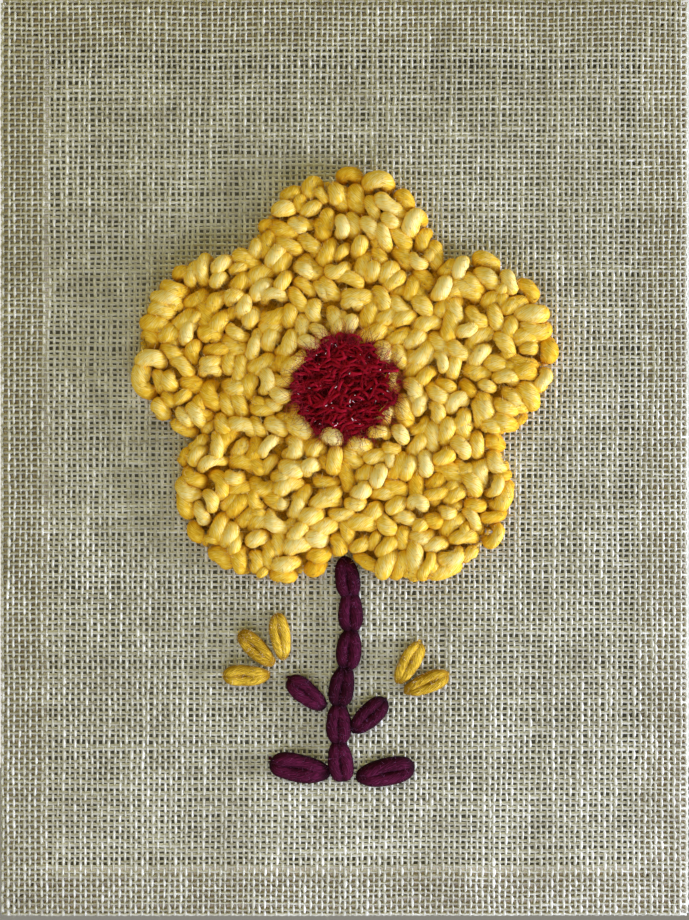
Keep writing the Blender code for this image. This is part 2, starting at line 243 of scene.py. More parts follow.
class ChainSettings(bpy.types.PropertyGroup):
    stem_links: bpy.props.IntProperty(
        name="Stem links", description="Chain stitches in the stem", default=6, min=1)
    stem_sway: bpy.props.FloatProperty(
        name="Stem sway", description="How far the stem swings to each side",
        default=3.0 * MM, unit="LENGTH", precision=5)
    link_width: bpy.props.FloatProperty(
        name="Link width", description="Width of one chain stitch of the stem",
        default=11.4 * MM, unit="LENGTH", precision=5)
    yarn_share: bpy.props.FloatProperty(
        name="Yarn share", description="Yarn radius as a share of a link's width", default=0.262)
    height: bpy.props.FloatProperty(
        name="Link height", description="Height of a chain stitch above the cloth",
        default=4.8 * MM, unit="LENGTH", precision=5)
    color: bpy.props.FloatVectorProperty(
        name="Plum wool", description="Colour of the stem and leaves",
        subtype="COLOR", size=3, min=0, max=1, default=(0.036, 0.0016, 0.0085))


class ReverseSettings(bpy.types.PropertyGroup):
    row_pitch: bpy.props.FloatProperty(
        name="Row pitch", description="Distance between rows of flat stitches",
        default=4.6 * MM, unit="LENGTH", precision=5)
    stitch_length: bpy.props.FloatProperty(
        name="Stitch length", description="Length of one flat stitch",
        default=7.4 * MM, unit="LENGTH", precision=5)
    height: bpy.props.FloatProperty(
        name="Stitch height", description="Height of a flat stitch above the cloth's back",
        default=1.9 * MM, unit="LENGTH", precision=5)


class StageSettings(bpy.types.PropertyGroup):
    lens: bpy.props.FloatProperty(
        name="Lens", description="Focal length of the camera in millimetres", default=50.0)
    distance: bpy.props.FloatProperty(
        name="Camera distance", description="From the lens to the panel's face",
        default=0.5555, unit="LENGTH")
    camera_drop: bpy.props.FloatProperty(
        name="Camera drop", description="How far the lens is below the panel's middle",
        default=1.1 * MM, unit="LENGTH", precision=5)
    floor_drop: bpy.props.FloatProperty(
        name="Floor drop", description="Height of the panel above the floor",
        default=0.9, unit="LENGTH")
    # The recess card is painted shade: a dark sheet behind the open weave where only shade would
    # be.
    painted_shade_card_color: bpy.props.FloatVectorProperty(
        name="Recess", description="Colour of the dim card behind the open weave",
        subtype="COLOR", size=3, min=0, max=1, default=(0.11, 0.106, 0.078))


SETTINGS = {
    "wall_piece_cloth": ClothSettings,
    "wall_piece_bloom": BloomSettings,
    "wall_piece_middle": MiddleSettings,
    "wall_piece_chain": ChainSettings,
    "wall_piece_reverse": ReverseSettings,
    "wall_piece_stage": StageSettings,
}


# Helpers for shapes


def unit(vectors):
    """Vectors scaled to length one."""
    length = np.linalg.norm(vectors, axis=-1, keepdims=True)
    return vectors / np.maximum(length, 1e-12)


def smooth_noise(chance, shape, passes):
    """Random values, averaged with their neighbours on the last axis and scaled to about -1..1."""
    values = chance.normal(size=shape)
    for _ in range(passes):
        values = (np.roll(values, 1, -1) + values + np.roll(values, -1, -1)) / 3
    return values / np.maximum(values.std(), 1e-9)


def swept_tubes(middles, hint, wide, high, sides, keep=None, turn=0.0):
    """Many tubes at once, each swept along its own line.

    At a station the tangent is the line's gradient, across is the hint made square to it, and
    outward is tangent x across. A ring's point at angle a is the station's middle
    + across * wide * cos(a) + outward * high * sin(a). Neighbouring rings are joined by quads and
    each end is closed by one face. Returns points, quads, end faces, and the UVs of both: round
    the tube from 0 to 1, and along it in centimetres.
    """
    tubes, stations, _ = middles.shape
    tangent = unit(np.gradient(middles, axis=1))
    across = hint - (hint * tangent).sum(-1, keepdims=True) * tangent
    across = unit(across)
    outward = np.cross(tangent, across)
    angle = turn + 2 * math.pi * np.arange(sides) / sides
    wide = np.broadcast_to(wide, (tubes, stations))[..., None, None]
    high = np.broadcast_to(high, (tubes, stations))[..., None, None]
    points = middles[:, :, None] + across[:, :, None] * wide * np.cos(angle)[:, None]
    points = points + outward[:, :, None] * high * np.sin(angle)[:, None]

    keep = np.ones((tubes, stations), bool) if keep is None else keep
    number = np.arange(tubes * stations * sides).reshape(tubes, stations, sides)
    after = np.roll(number, -1, 2)
    spans = keep[:, :-1] & keep[:, 1:]
    quads = np.stack((number[:, :-1], after[:, :-1], after[:, 1:], number[:, 1:]), -1)[spans]
    held = np.zeros((tubes, stations + 1), bool)
    held[:, 1:-1] = spans
    starts = held[:, 1:] & ~held[:, :-1]
    ends = held[:, :-1] & ~held[:, 1:]
    caps = np.concatenate((number[starts][:, ::-1], number[ends]))

    step = np.linalg.norm(np.diff(middles, axis=1), axis=-1)
    along = np.concatenate((np.zeros((tubes, 1)), np.cumsum(step, 1)), 1) * 100
    low = np.broadcast_to(along[:, :-1, None], number[:, 1:].shape)[spans]
    top = np.broadcast_to(along[:, 1:, None], number[:, 1:].shape)[spans]
    left = np.broadcast_to(np.arange(sides) / sides, low.shape)
    right = left + 1 / sides
    corners_u = np.stack((left, right, right, left), -1)
    corners_v = np.stack((low, low, top, top), -1)
    quad_uv = np.stack((corners_u, corners_v), -1)
    cap_uv = np.zeros((len(caps), sides, 2))
    return {
        "points": points.reshape(-1, 3),
        "quads": quads.reshape(-1, 4),
        "caps": caps,
        "quad_uv": quad_uv.reshape(-1, 2),
        "cap_uv": cap_uv.reshape(-1, 2),
        "per_station": sides,
    }


def per_point(values, tubes):
    """A value for each station, repeated for the points of that station's ring."""
    return np.repeat(np.asarray(values).reshape(-1), tubes["per_station"])


def joined(parts):
    """Several swept shapes with the same number of sides as one."""
    result = {"per_station": parts[0]["per_station"]}
    shift = 0
    quads, caps = [], []
    for part in parts:
        quads.append(part["quads"] + shift)
        caps.append(part["caps"] + shift)
        shift += len(part["points"])
    result["quads"] = np.concatenate(quads)
    result["caps"] = np.concatenate(caps)
    for key in ("points", "quad_uv", "cap_uv"):
        result[key] = np.concatenate([part[key] for part in parts])
    return result


def add_piece(name, shape, material, tone=None):
    """Puts a swept shape into a smooth mesh with its UV map and tone, without unused points."""
    corners = np.concatenate((shape["quads"].reshape(-1), shape["caps"].reshape(-1)))
    used, corners = np.unique(corners, return_inverse=True)
    quad_count = len(shape["quads"])
    cap_sides = shape["caps"].shape[1] if len(shape["caps"]) else 0
    starts = np.concatenate((
        np.arange(quad_count) * 4,
        quad_count * 4 + np.arange(len(shape["caps"])) * cap_sides,
    ))
    mesh = bpy.data.meshes.new(name)
    mesh.vertices.add(len(used))
    mesh.vertices.foreach_set("co", shape["points"][used].astype(np.float32).reshape(-1))
    mesh.loops.add(len(corners))
    mesh.loops.foreach_set("vertex_index", corners.astype(np.int32))
    mesh.polygons.add(len(starts))
    mesh.polygons.foreach_set("loop_start", starts.astype(np.int32))
    mesh.update(calc_edges=True)
    mesh.shade_smooth()
    uv = np.concatenate((shape["quad_uv"], shape["cap_uv"])).astype(np.float32)
    mesh.uv_layers.new(name="yarn").uv.foreach_set("vector", uv.reshape(-1))
    values = np.full(len(used), 0.5) if tone is None else tone[used]
    layer = mesh.attributes.new("tone", "FLOAT", "POINT")
    layer.data.foreach_set("value", values.astype(np.float32))
    mesh.materials.append(material)
    piece = bpy.data.objects.new(name, mesh)
    bpy.context.collection.objects.link(piece)
    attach(piece, "root")
    return piece


def hair_tone(chance, hairs, count):
    """A random tone for each hair, on all of its points."""
    return np.repeat(chance.random(count), len(hairs["points"]) // count)


def strands(chance, roots, directions, lengths, thickness, bend, stations=5):
    """Fine tapering hairs: root + direction * s + two random side bends that grow with s."""
    count = len(roots)
    share = np.linspace(0, 1, stations)
    side = unit(np.cross(directions, unit(chance.normal(size=(count, 3)))))
    other = np.cross(directions, side)
    curl = np.clip(chance.normal(size=(2, count, 1)), -1.6, 1.6) * bend * lengths[:, None]
    reach = directions[:, None] * lengths[:, None, None] * share[:, None]
    sway = side[:, None] * (curl[0][:, None] * share[:, None] ** 2)
    wave = other[:, None] * (curl[1][:, None] * (share * (1 - share))[:, None] * 2)
    middles = roots[:, None] + reach + sway + wave
    taper = thickness / 2 * (1 - 0.7 * share)
    return swept_tubes(middles, side[:, None], taper[None], taper[None], 3)


# Node groups and materials


def new_group(name, inputs, outputs):
    """An empty shader node group with named sockets."""
    group = bpy.data.node_groups.new(name, "ShaderNodeTree")
    for socket, kind, value in inputs:
        made = group.interface.new_socket(socket, in_out="INPUT", socket_type=kind)
        made.default_value = value
    for socket, kind in outputs:
        group.interface.new_socket(socket, in_out="OUTPUT", socket_type=kind)
    group.nodes.new("NodeGroupInput").name = "in"
    group.nodes.new("NodeGroupOutput").name = "out"
    return group


def add_node(tree, kind, inputs=None, **settings):
    """A node with its settings, and its inputs given as values or as sockets to link."""
    node = tree.nodes.new(kind)
    for key, value in settings.items():
        setattr(node, key, value)
    for key, value in (inputs or {}).items():
        if isinstance(value, bpy.types.NodeSocket):
            tree.links.new(value, node.inputs[key])
        else:
            node.inputs[key].default_value = value
    return node


def yarn_fibre_group():
    """Fibre lines on a yarn, from its UV map: noise drawn out along a slanted line.

    The map's x is multiplied by the yarn's girth, the result is turned by the slant and divided by
    the grain's size, and a noise is read there. Patch is a slow noise in the object's space.
    """
    name = "Yarn fibres"
    if name in bpy.data.node_groups:
        return bpy.data.node_groups[name]
    group = new_group(
        name,
        (("Girth", "NodeSocketFloat", 1.9), ("Slant", "NodeSocketVector", (0.0, 0.0, 1.0)),
         ("Grain", "NodeSocketVector", (0.06, 0.6, 1.0)), ("Patch size", "NodeSocketFloat", 60.0)),
        (("Fibre", "NodeSocketFloat"), ("Patch", "NodeSocketFloat")),
    )
    given = group.nodes["in"].outputs
    uv = add_node(group, "ShaderNodeUVMap", uv_map="yarn")
    parts = add_node(group, "ShaderNodeSeparateXYZ", {0: uv.outputs[0]})
    around = add_node(group, "ShaderNodeMath", {0: parts.outputs[0], 1: given["Girth"]},
                      operation="MULTIPLY")
    spot = add_node(group, "ShaderNodeCombineXYZ", {0: around.outputs[0], 1: parts.outputs[1]})
    mapping = add_node(group, "ShaderNodeMapping",
                       {"Vector": spot.outputs[0], "Rotation": given["Slant"],
                        "Scale": given["Grain"]}, vector_type="TEXTURE")
    fibre = add_node(group, "ShaderNodeTexNoise",
                     {"Vector": mapping.outputs[0], "Scale": 1.0, "Detail": 2.5,
                      "Roughness": 0.6, "Distortion": 0.25})
    place = add_node(group, "ShaderNodeTexCoord")
    patch = add_node(group, "ShaderNodeTexNoise",
                     {"Vector": place.outputs["Object"], "Scale": given["Patch size"],
                      "Detail": 2.0})
    group.links.new(fibre.outputs[0], group.nodes["out"].inputs["Fibre"])
    group.links.new(patch.outputs[0], group.nodes["out"].inputs["Patch"])
    return group


def grain_group():
    """Pine grain along the group's z: bands of warped rings with fine pores between them."""
    name = "Pine grain"
    if name in bpy.data.node_groups:
        return bpy.data.node_groups[name]
    group = new_group(
        name,
        (("Vector", "NodeSocketVector", (0.0, 0.0, 0.0)),),
        (("Ring", "NodeSocketFloat"), ("Pore", "NodeSocketFloat")),
    )
    given = group.nodes["in"].outputs
    stretched = add_node(group, "ShaderNodeMapping",
                         {"Vector": given["Vector"], "Scale": (1.0, 1.0, 0.07)})
    warp = add_node(group, "ShaderNodeTexNoise",
                    {"Vector": stretched.outputs[0], "Scale": 70.0, "Detail": 2.0})
    ring = add_node(group, "ShaderNodeTexWave",
                    {"Vector": stretched.outputs[0], "Scale": 95.0, "Distortion": 5.0,
                     "Detail": 2.0, "Detail Scale": 1.2}, bands_direction="DIAGONAL")
    mixed = add_node(group, "ShaderNodeMath", {0: ring.outputs["Fac"], 1: warp.outputs[0]},
                     operation="MULTIPLY")
    fine = add_node(group, "ShaderNodeMapping",
                    {"Vector": given["Vector"], "Scale": (1.0, 1.0, 0.02)})
    pore = add_node(group, "ShaderNodeTexNoise",
                    {"Vector": fine.outputs[0], "Scale": 1800.0, "Detail": 3.0})
    group.links.new(mixed.outputs[0], group.nodes["out"].inputs["Ring"])
    group.links.new(pore.outputs[0], group.nodes["out"].inputs["Pore"])
    return group


def remap(tree, value, low, high, to_low, to_high):
    """A value mapped from low..high to to_low..to_high."""
    return add_node(tree, "ShaderNodeMapRange",
                    {"Value": value, "From Min": low, "From Max": high,
                     "To Min": to_low, "To Max": to_high}).outputs[0]


def added(tree, first, second):
    """The sum of two values."""
    return add_node(tree, "ShaderNodeMath", {0: first, 1: second}, operation="ADD").outputs[0]


def bump_from(tree, shader, height, strength, distance):
    """Bumps the surface by a height."""
    bump = add_node(tree, "ShaderNodeBump",
                    {"Height": height, "Strength": strength, "Distance": distance})
    tree.links.new(bump.outputs[0], shader.inputs["Normal"])


def set_values(shader, **values):
    """Sets sockets of a shader, named with _ for each space."""
    for name, value in values.items():
        shader.inputs[name.replace("_", " ")].default_value = value


def color_ramp(tree, factor, stops):
    """A colour ramp whose stops are (position, colour)."""
    ramp = add_node(tree, "ShaderNodeValToRGB", {"Fac": factor})
    elements = ramp.color_ramp.elements
    while len(elements) < len(stops):
        elements.new(0.5)
    for element, (position, color) in zip(elements, stops):
        element.position = position
        element.color = (*color, 1.0)
    return ramp.outputs["Color"]


def new_material(name):
    material = bpy.data.materials.new(name)
    material.use_nodes = True
    tree = material.node_tree
    return material, tree, tree.nodes["Principled BSDF"]


def shade(color, brightness, toward=(1.0, 1.0, 1.0), share=0.0):
    """A colour made brighter or darker, then mixed with another."""
    mixed = (c * (1 - share) + t * share for c, t in zip(color, toward))
    return tuple(min(1.0, c * brightness) for c in mixed)


def painted_height_shading(tree, low, high):
    """Painted shading, a tone that rises from the cloth to the crests: (height above the cloth,
    tone) at both ends.
    """
    place = add_node(tree, "ShaderNodeTexCoord")
    parts = add_node(tree, "ShaderNodeSeparateXYZ", {0: place.outputs["Object"]})
    return remap(tree, parts.outputs[1], FRONT_Y - low[0], FRONT_Y - high[0], low[1], high[1])


def yarn_fibres(tree, girth, slant, grain):
    """The fibre group's node with its settings, and the tone of the piece at this point."""
    fibres = add_node(tree, "ShaderNodeGroup", node_tree=yarn_fibre_group())
    set_values(fibres, Girth=girth, Slant=(0.0, 0.0, math.radians(slant)),
               Grain=(grain[0], grain[1], 1.0))
    return fibres, add_node(tree, "ShaderNodeAttribute", attribute_name="tone").outputs["Fac"]


def streaky_tone(tree, fibres, tone, contrast, patches):
    """Tone plus the fibre lines times contrast, plus the slow patches times patches."""
    lines = remap(tree, fibres.outputs["Fibre"], 0.3, 0.7, -contrast, contrast)
    patch = remap(tree, fibres.outputs["Patch"], 0.3, 0.7, -patches, patches)
    return added(tree, added(tree, tone, lines), patch)


def yarn_material(name, tones, girth, slant, grain, relief, sheen, contrast=0.35, rise=None):
    """Wool in a deep, a middle and a pale tone, mixed by fibre lines, yarn, and height as painted
    shading.
    """
    deep, color, pale = tones
    material, tree, shader = new_material(name)
    fibres, tone = yarn_fibres(tree, girth, slant, grain)
    total = streaky_tone(tree, fibres, tone, contrast, 0.12)
    # The rise paints shade low down and highlight on the crests.
    if rise:
        total = added(tree, total, painted_height_shading(tree, *rise))
    stops = ((0.0, deep), (0.5, color), (1.0, pale))
    tree.links.new(color_ramp(tree, total, stops), shader.inputs["Base Color"])
    bump_from(tree, shader, fibres.outputs["Fibre"], 0.6, relief)
    set_values(shader, Roughness=0.92, Specular_IOR_Level=0.1, Sheen_Weight=sheen,
               Sheen_Roughness=0.45, Sheen_Tint=(*pale, 1.0))
    return material


def hair_material(name, color, tip):
    """Fine loose hairs: a tone between two colours that differs from hair to hair."""
    material, tree, shader = new_material(name)
    tone = add_node(tree, "ShaderNodeAttribute", attribute_name="tone")
    tree.links.new(color_ramp(tree, tone.outputs["Fac"], ((0.0, color), (1.0, tip))),
                   shader.inputs["Base Color"])
    set_values(shader, Roughness=0.7, Specular_IOR_Level=0.15)
    return material


def painted_glint_material():
    """Glitter thread: pink to white, with a painted glint that makes it a little bright of itself,
    as sparks in the photo are.
    """
    material, tree, shader = new_material("glitter thread")
    tone = add_node(tree, "ShaderNodeAttribute", attribute_name="tone")
    stops = ((0.0, (0.95, 0.50, 0.62)), (0.6, (1.0, 0.95, 0.97)))
    tree.links.new(color_ramp(tree, tone.outputs["Fac"], stops), shader.inputs["Base Color"])
    # The emission is a painted glint: the thread glows though it is no lamp.
    set_values(shader, Metallic=0.2, Roughness=0.3, Emission_Color=(1.0, 0.85, 0.9, 1.0),
               Emission_Strength=0.55)
    return material


def painted_shade_mat_material(name, dark, light):
    """Tangled wool between the loops' legs: two tones of a noise in object space, and bump. Its
    callers give it tones darker than the yarn, as painted shade.
    """
    material, tree, shader = new_material(name)
    place = add_node(tree, "ShaderNodeTexCoord")
    tangle = add_node(tree, "ShaderNodeTexNoise",
                      {"Vector": place.outputs["Object"], "Scale": 700.0, "Detail": 3.0,
                       "Roughness": 0.65, "Distortion": 1.5})
    stops = ((0.35, dark), (0.68, light))
    tree.links.new(color_ramp(tree, tangle.outputs[0], stops), shader.inputs["Base Color"])
    bump_from(tree, shader, tangle.outputs[0], 0.8, 0.8 * MM)
    set_values(shader, Roughness=0.95, Specular_IOR_Level=0.1)
    return material


def jute_material(color):
    """Jute thread: streaks along the thread, in tones from dark straw to pale grey."""
    material, tree, shader = new_material("natural burlap")
    fibres, tone = yarn_fibres(tree, 0.32, 12, JUTE_LINES)
    fibres.inputs["Patch size"].default_value = 45.0
    total = streaky_tone(tree, fibres, tone, 0.22, 0.10)
    stops = (
        (0.0, shade(color, 0.42, (0.30, 0.20, 0.08), 0.35)),
        (0.28, shade(color, 0.78, (0.50, 0.40, 0.22), 0.3)),
        (0.6, color),
        (1.0, shade(color, 1.45, (0.80, 0.80, 0.74), 0.4)),
    )
    tree.links.new(color_ramp(tree, total, stops), shader.inputs["Base Color"])
    bump_from(tree, shader, fibres.outputs["Fibre"], 0.5, 0.15 * MM)
    set_values(shader, Roughness=0.9, Specular_IOR_Level=0.25, Sheen_Weight=0.15)
    return material


def pine_material(name, along_x):
    """Bare pine with its grain along the bar."""
    material, tree, shader = new_material(name)
    place = add_node(tree, "ShaderNodeTexCoord")
    turned = add_node(tree, "ShaderNodeMapping",
                      {"Vector": place.outputs["Object"],
                       "Rotation": (0.0, math.radians(90) if along_x else 0.0, 0.0)})
    grain = add_node(tree, "ShaderNodeGroup", {"Vector": turned.outputs[0]},
                     node_tree=grain_group())
    color = color_ramp(tree, grain.outputs["Ring"],
                       ((0.05, (0.62, 0.52, 0.34)), (0.35, (0.51, 0.41, 0.25)),
                        (0.62, (0.36, 0.27, 0.15))))
    mixed = add_node(tree, "ShaderNodeMix", {"Factor": 0.35}, data_type="RGBA",
                     blend_type="MULTIPLY")
    pores = color_ramp(tree, grain.outputs["Pore"],
                       ((0.35, (0.55, 0.45, 0.35)), (0.6, (1.0, 1.0, 1.0))))
    tree.links.new(color, mixed.inputs[6])
    tree.links.new(pores, mixed.inputs[7])
    tree.links.new(mixed.outputs[2], shader.inputs["Base Color"])
    bump_from(tree, shader, grain.outputs["Pore"], 0.35, 0.12 * MM)
    set_values(shader, Roughness=0.62)
    return material


# Burlap


def wrapped(flat, half, settings):
    """Where a flat coordinate of the cloth lies once it is turned round the frame.

    The cloth's middle surface runs straight to the bend, round a quarter circle, straight over
    the side, round a second quarter circle and back along the rear. Returns the place along the
    axis, the depth, the angle turned so far, and the length on the rear.
    """
    bend = settings.edge_round - settings.thickness / 2
    front = FRONT_Y + settings.thickness / 2
    back = BACK_Y - settings.thickness / 2
    distance = np.abs(flat)
    face = half - settings.thickness / 2 - bend
    quarter = bend * math.pi / 2
    side = back - front - 2 * bend
    first = np.clip((distance - face) / bend, 0, math.pi / 2)
    second = np.clip((distance - face - quarter - side) / bend, 0, math.pi / 2)
    on_side = np.clip(distance - face - quarter, 0, side)
    on_back = np.clip(distance - face - 2 * quarter - side, 0, None)
    place = np.minimum(distance, face) + bend * np.sin(first)
    place = place - bend * (1 - np.cos(second)) - on_back
    depth = front + bend * (1 - np.cos(first)) + on_side + bend * np.sin(second)
    return np.sign(flat) * place, depth, np.sign(flat) * (first + second), on_back


def flat_half(half, settings):
    """Half the cloth's cut size: face, side, two bends and turn-back."""
    bend = settings.edge_round - settings.thickness / 2
    side = BACK_Y - FRONT_Y - settings.thickness - 2 * bend
    face = half - settings.thickness / 2 - bend
    return face + bend * math.pi + side + settings.turn_back - settings.edge_round


def thread_places(count, half, settings):
    """Evenly spaced threads: count on the face, and on over the sides to the hem."""
    pitch = 2 * half / count
    reach = flat_half(half, settings)
    beyond = int((reach - half) / pitch)
    number = np.arange(-beyond, count + beyond)
    return (number + 0.5) * pitch - half


def edge_bow(places_along, distance, pull, wave):
    """Threads near a stretched edge bow in uneven waves that fade with a length of 20 mm."""
    wavelength, phase, share = wave
    fade_length, beat = 20 * MM, 47 * MM
    fade = np.exp(-distance / fade_length)
    fade = fade * (0.6 + 0.4 * np.sin(places_along / beat + 2 * phase))
    return share * pull * fade * np.cos(2 * math.pi * places_along / wavelength + phase)


def woven_grid(chance, columns, rows, settings):
    """Flat places of all crossings: even spacing plus each thread's own wander and edge bows.

    The bows and the lean of the upright threads ease out over the last 10 mm before an edge.
    """
    across, down = len(columns), len(rows)
    wander_x = WHOLE_WANDER * chance.normal(size=(across, 1))
    wander_x = wander_x + LONG_WANDER * smooth_noise(chance, (across, down), 30)
    wander_x = wander_x + SHORT_WANDER_X * smooth_noise(chance, (across, down), 1)
    wander_z = WHOLE_WANDER * chance.normal(size=(1, down))
    wander_z = wander_z + LONG_WANDER * smooth_noise(chance, (down, across), 30).T
    wander_z = wander_z + SHORT_WANDER_Z * smooth_noise(chance, (down, across), 1).T
    x = columns[:, None] + wander_x
    z = rows[None, :] + wander_z
    top = np.clip(CLOTH_HALF[2] - z, 0, None)
    bottom = np.clip(CLOTH_HALF[2] + z, 0, None)
    left = np.clip(CLOTH_HALF[0] + x, 0, None)
    right = np.clip(CLOTH_HALF[0] - x, 0, None)
    pull = settings.pull
    ease = 10 * MM
    inside_z = np.clip(np.minimum(top, bottom) / ease, 0, 1)
    inside_x = np.clip(np.minimum(left, right) / ease, 0, 1)
    bow_z = edge_bow(x, bottom, pull, BOTTOM_WAVE) + edge_bow(x, top, pull, TOP_WAVE)
    bow_x = edge_bow(z, left, pull, LEFT_WAVE) + edge_bow(z, right, pull, RIGHT_WAVE)
    lean = 0.012 * z * np.cos(math.pi * x / (2.2 * CLOTH_HALF[0]))
    return x + (bow_x + lean) * inside_x, z + bow_z * inside_z


def slubs(chance, shape, count, strength):
    """Thick places: bell-shaped swellings at random stations of random threads."""
    reach = 6
    swell = np.zeros(shape)
    thread = chance.integers(0, shape[0], count)
    station = chance.integers(reach, shape[1] - reach, count)
    size = chance.uniform(0.3, 1.0, count) ** 2 * strength
    length = chance.uniform(0.8, 2.6, count)
    offset = np.arange(-reach, reach + 1)
    bell = size[:, None] * np.exp(-(offset / length[:, None]) ** 2)
    np.add.at(swell, (thread[:, None], station[:, None] + offset), bell)
    return swell


def thread_set(chance, x, z, upright, settings):
    """One set of threads: tubes of three sides that pass over and under at each crossing.

    A crossing lies on the wrapped cloth, moved along the cloth's normal by the wave, up and down
    in turn. A crossing whose place has left the face on one axis lies on that axis's side or
    turn-back. Threads end where the cloth's own edge is, and on the back at the mitre.
    """
    along_x, depth_x, turned_x, back_x = wrapped(x, CLOTH_HALF[0], settings)
    along_z, depth_z, turned_z, back_z = wrapped(z, CLOTH_HALF[2], settings)
    off_x, off_z = np.abs(turned_x) > 0, np.abs(turned_z) > 0
    by_x = off_x & (~off_z | upright)
    by_z = off_z & ~by_x
    place_x = np.where(by_z, x, along_x)
    place_z = np.where(by_x, z, along_z)
    depth = np.where(by_x, depth_x, np.where(by_z, depth_z, FRONT_Y + settings.thickness / 2))
    turned = np.where(by_x, turned_x, np.where(by_z, turned_z, 0.0))
    normal = np.stack((np.where(by_x, np.sin(turned), 0.0), -np.cos(turned),
                       np.where(by_z, np.sin(turned), 0.0)), -1)
    margin_x = CLOTH_HALF[0] - np.abs(place_x)
    margin_z = CLOTH_HALF[2] - np.abs(place_z)
    slack = 0.2 * MM
    keep_x = by_x & (margin_z > 0) & ((back_x == 0) | (margin_x <= margin_z + slack))
    keep_z = by_z & (margin_x > 0) & ((back_z == 0) | (margin_z <= margin_x + slack))
    keep = keep_x | keep_z | ~(by_x | by_z)

    column, row = np.indices(x.shape)
    over = np.where((column + row) % 2 == 0, 1.0, -1.0) * (1.0 if upright else -1.0)
    middles = np.stack((place_x, depth, place_z), -1)
    middles = middles + normal * (over * settings.wave)[..., None]
    if not upright:
        middles, normal, keep = (np.swapaxes(value, 0, 1) for value in (middles, normal, keep))
        over = over.T
    middles = middles + np.array((CLOTH_MIDDLE[0], 0.0, CLOTH_MIDDLE[2]))

    threads, stations = keep.shape
    thread_size = np.exp(0.10 * chance.normal(size=(threads, 1))) * (1.07 if upright else 1.0)
    thick_place = slubs(chance, keep.shape, int(threads * 1.3), 0.7)
    size = thread_size * (1 + 0.13 * smooth_noise(chance, keep.shape, 1)) + thick_place
    size = np.clip(size, 0.6, 1.9)
    wide = settings.thread_width / 2 / 0.866 * size * (1 + 0.06 * over)
    high = settings.thread_height / 1.5 * np.sqrt(size)
    tangent = unit(np.gradient(middles, axis=1))
    hint = np.cross(normal, tangent)
    tubes = swept_tubes(middles, hint, wide, high, 3, keep, turn=math.pi / 2)
    # Upright threads are toned lighter than level ones: painted light, as light from the side
    # catches them.
    tone = (0.66 if upright else 0.49) + 0.045 * chance.normal(size=(threads, 1))
    tone = tone + 0.08 * smooth_noise(chance, keep.shape, 2) + 0.12 * thick_place
    return tubes, per_point(tone, tubes), middles, keep


def jute_hairs(chance, face, count, settings):
    """Short stray fibres that stand off the crossings on the face at low angles."""
    face = face[np.abs(face[:, 1] - FRONT_Y) < settings.thickness]
    roots = face[chance.integers(0, len(face), count)]
    angle = chance.uniform(0, 2 * math.pi, count)
    lift = chance.uniform(0.15, 0.8, count)
    directions = np.stack((np.cos(angle), -lift, np.sin(angle)), -1)
    lengths = chance.uniform(0.9, 3.6, count) * MM
    return strands(chance, roots, unit(directions), lengths, 0.11 * MM, 0.4, stations=4)


class WALLPIECE_OT_burlap(bpy.types.Operator):
    """Weaves the burlap thread by thread and turns it round the frame"""

    bl_idname = "wall_piece.burlap"
    bl_label = "Burlap"

    def execute(self, context):
        settings = context.scene.wall_piece_cloth
        chance = np.random.default_rng(21)
        columns = thread_places(settings.columns, CLOTH_HALF[0], settings)
        rows = thread_places(settings.rows, CLOTH_HALF[2], settings)
        x, z = woven_grid(chance, columns, rows, settings)
        material = jute_material(settings.color)
        shape, tone, _, _ = thread_set(chance, x, z, True, settings)
        upright = add_piece("upright_threads", shape, material, tone)
        shape, tone, middles, keep = thread_set(chance, x, z, False, settings)
        level = add_piece("level_threads", shape, material, tone)
        hairs = jute_hairs(chance, middles[keep], settings.hairs, settings)
        loose = hair_material("jute fibre", shade(settings.color, 0.9), shade(settings.color, 1.5))
        stray = add_piece("stray_fibres", hairs, loose, hair_tone(chance, hairs, settings.hairs))
        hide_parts("burlap")
        return {"FINISHED"}


class WALLPIECE_OT_bars(bpy.types.Operator):
    """Gives the four bars of the frame their pine"""

    bl_idname = "wall_piece.bars"
    bl_label = "Wooden bars"

    def execute(self, context):
        level = pine_material("pine along x", True)
        upright = pine_material("pine along z", False)
        for name in BARS:
            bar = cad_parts[name]
            bar.data.materials.clear()
            bar.data.materials.append(level if name in ("bar_top", "bar_bottom") else upright)
        return {"FINISHED"}


# Loop pile


def petal_outline(angle, settings):
    """Radius of the bloom: valley + (tip - valley) * |cos(petals / 2 * (angle - 90))| ** p."""
    wave = np.abs(np.cos(settings.petals / 2 * (angle - math.pi / 2)))
    reach = settings.petal_tip - settings.petal_valley
    return settings.petal_valley + reach * wave ** settings.roundness


def petal_line(settings, inset=0.0):
    """The bloom's outline, moved inwards, as a function of the angle."""
    return lambda angle: petal_outline(angle, settings) - inset


def circle_line(radius):
    """A circle's outline as a function of the angle."""
    return lambda angle: np.full_like(angle, radius)


def spiral_spots(count, radius):
    """Evenly spread spots on a disc: a sunflower's spiral."""
    number = np.arange(count) + 0.5
    distance = radius * np.sqrt(number / count)
    angle = number * math.pi * (3 - math.sqrt(5))
    return np.stack((distance * np.cos(angle), distance * np.sin(angle)), -1)


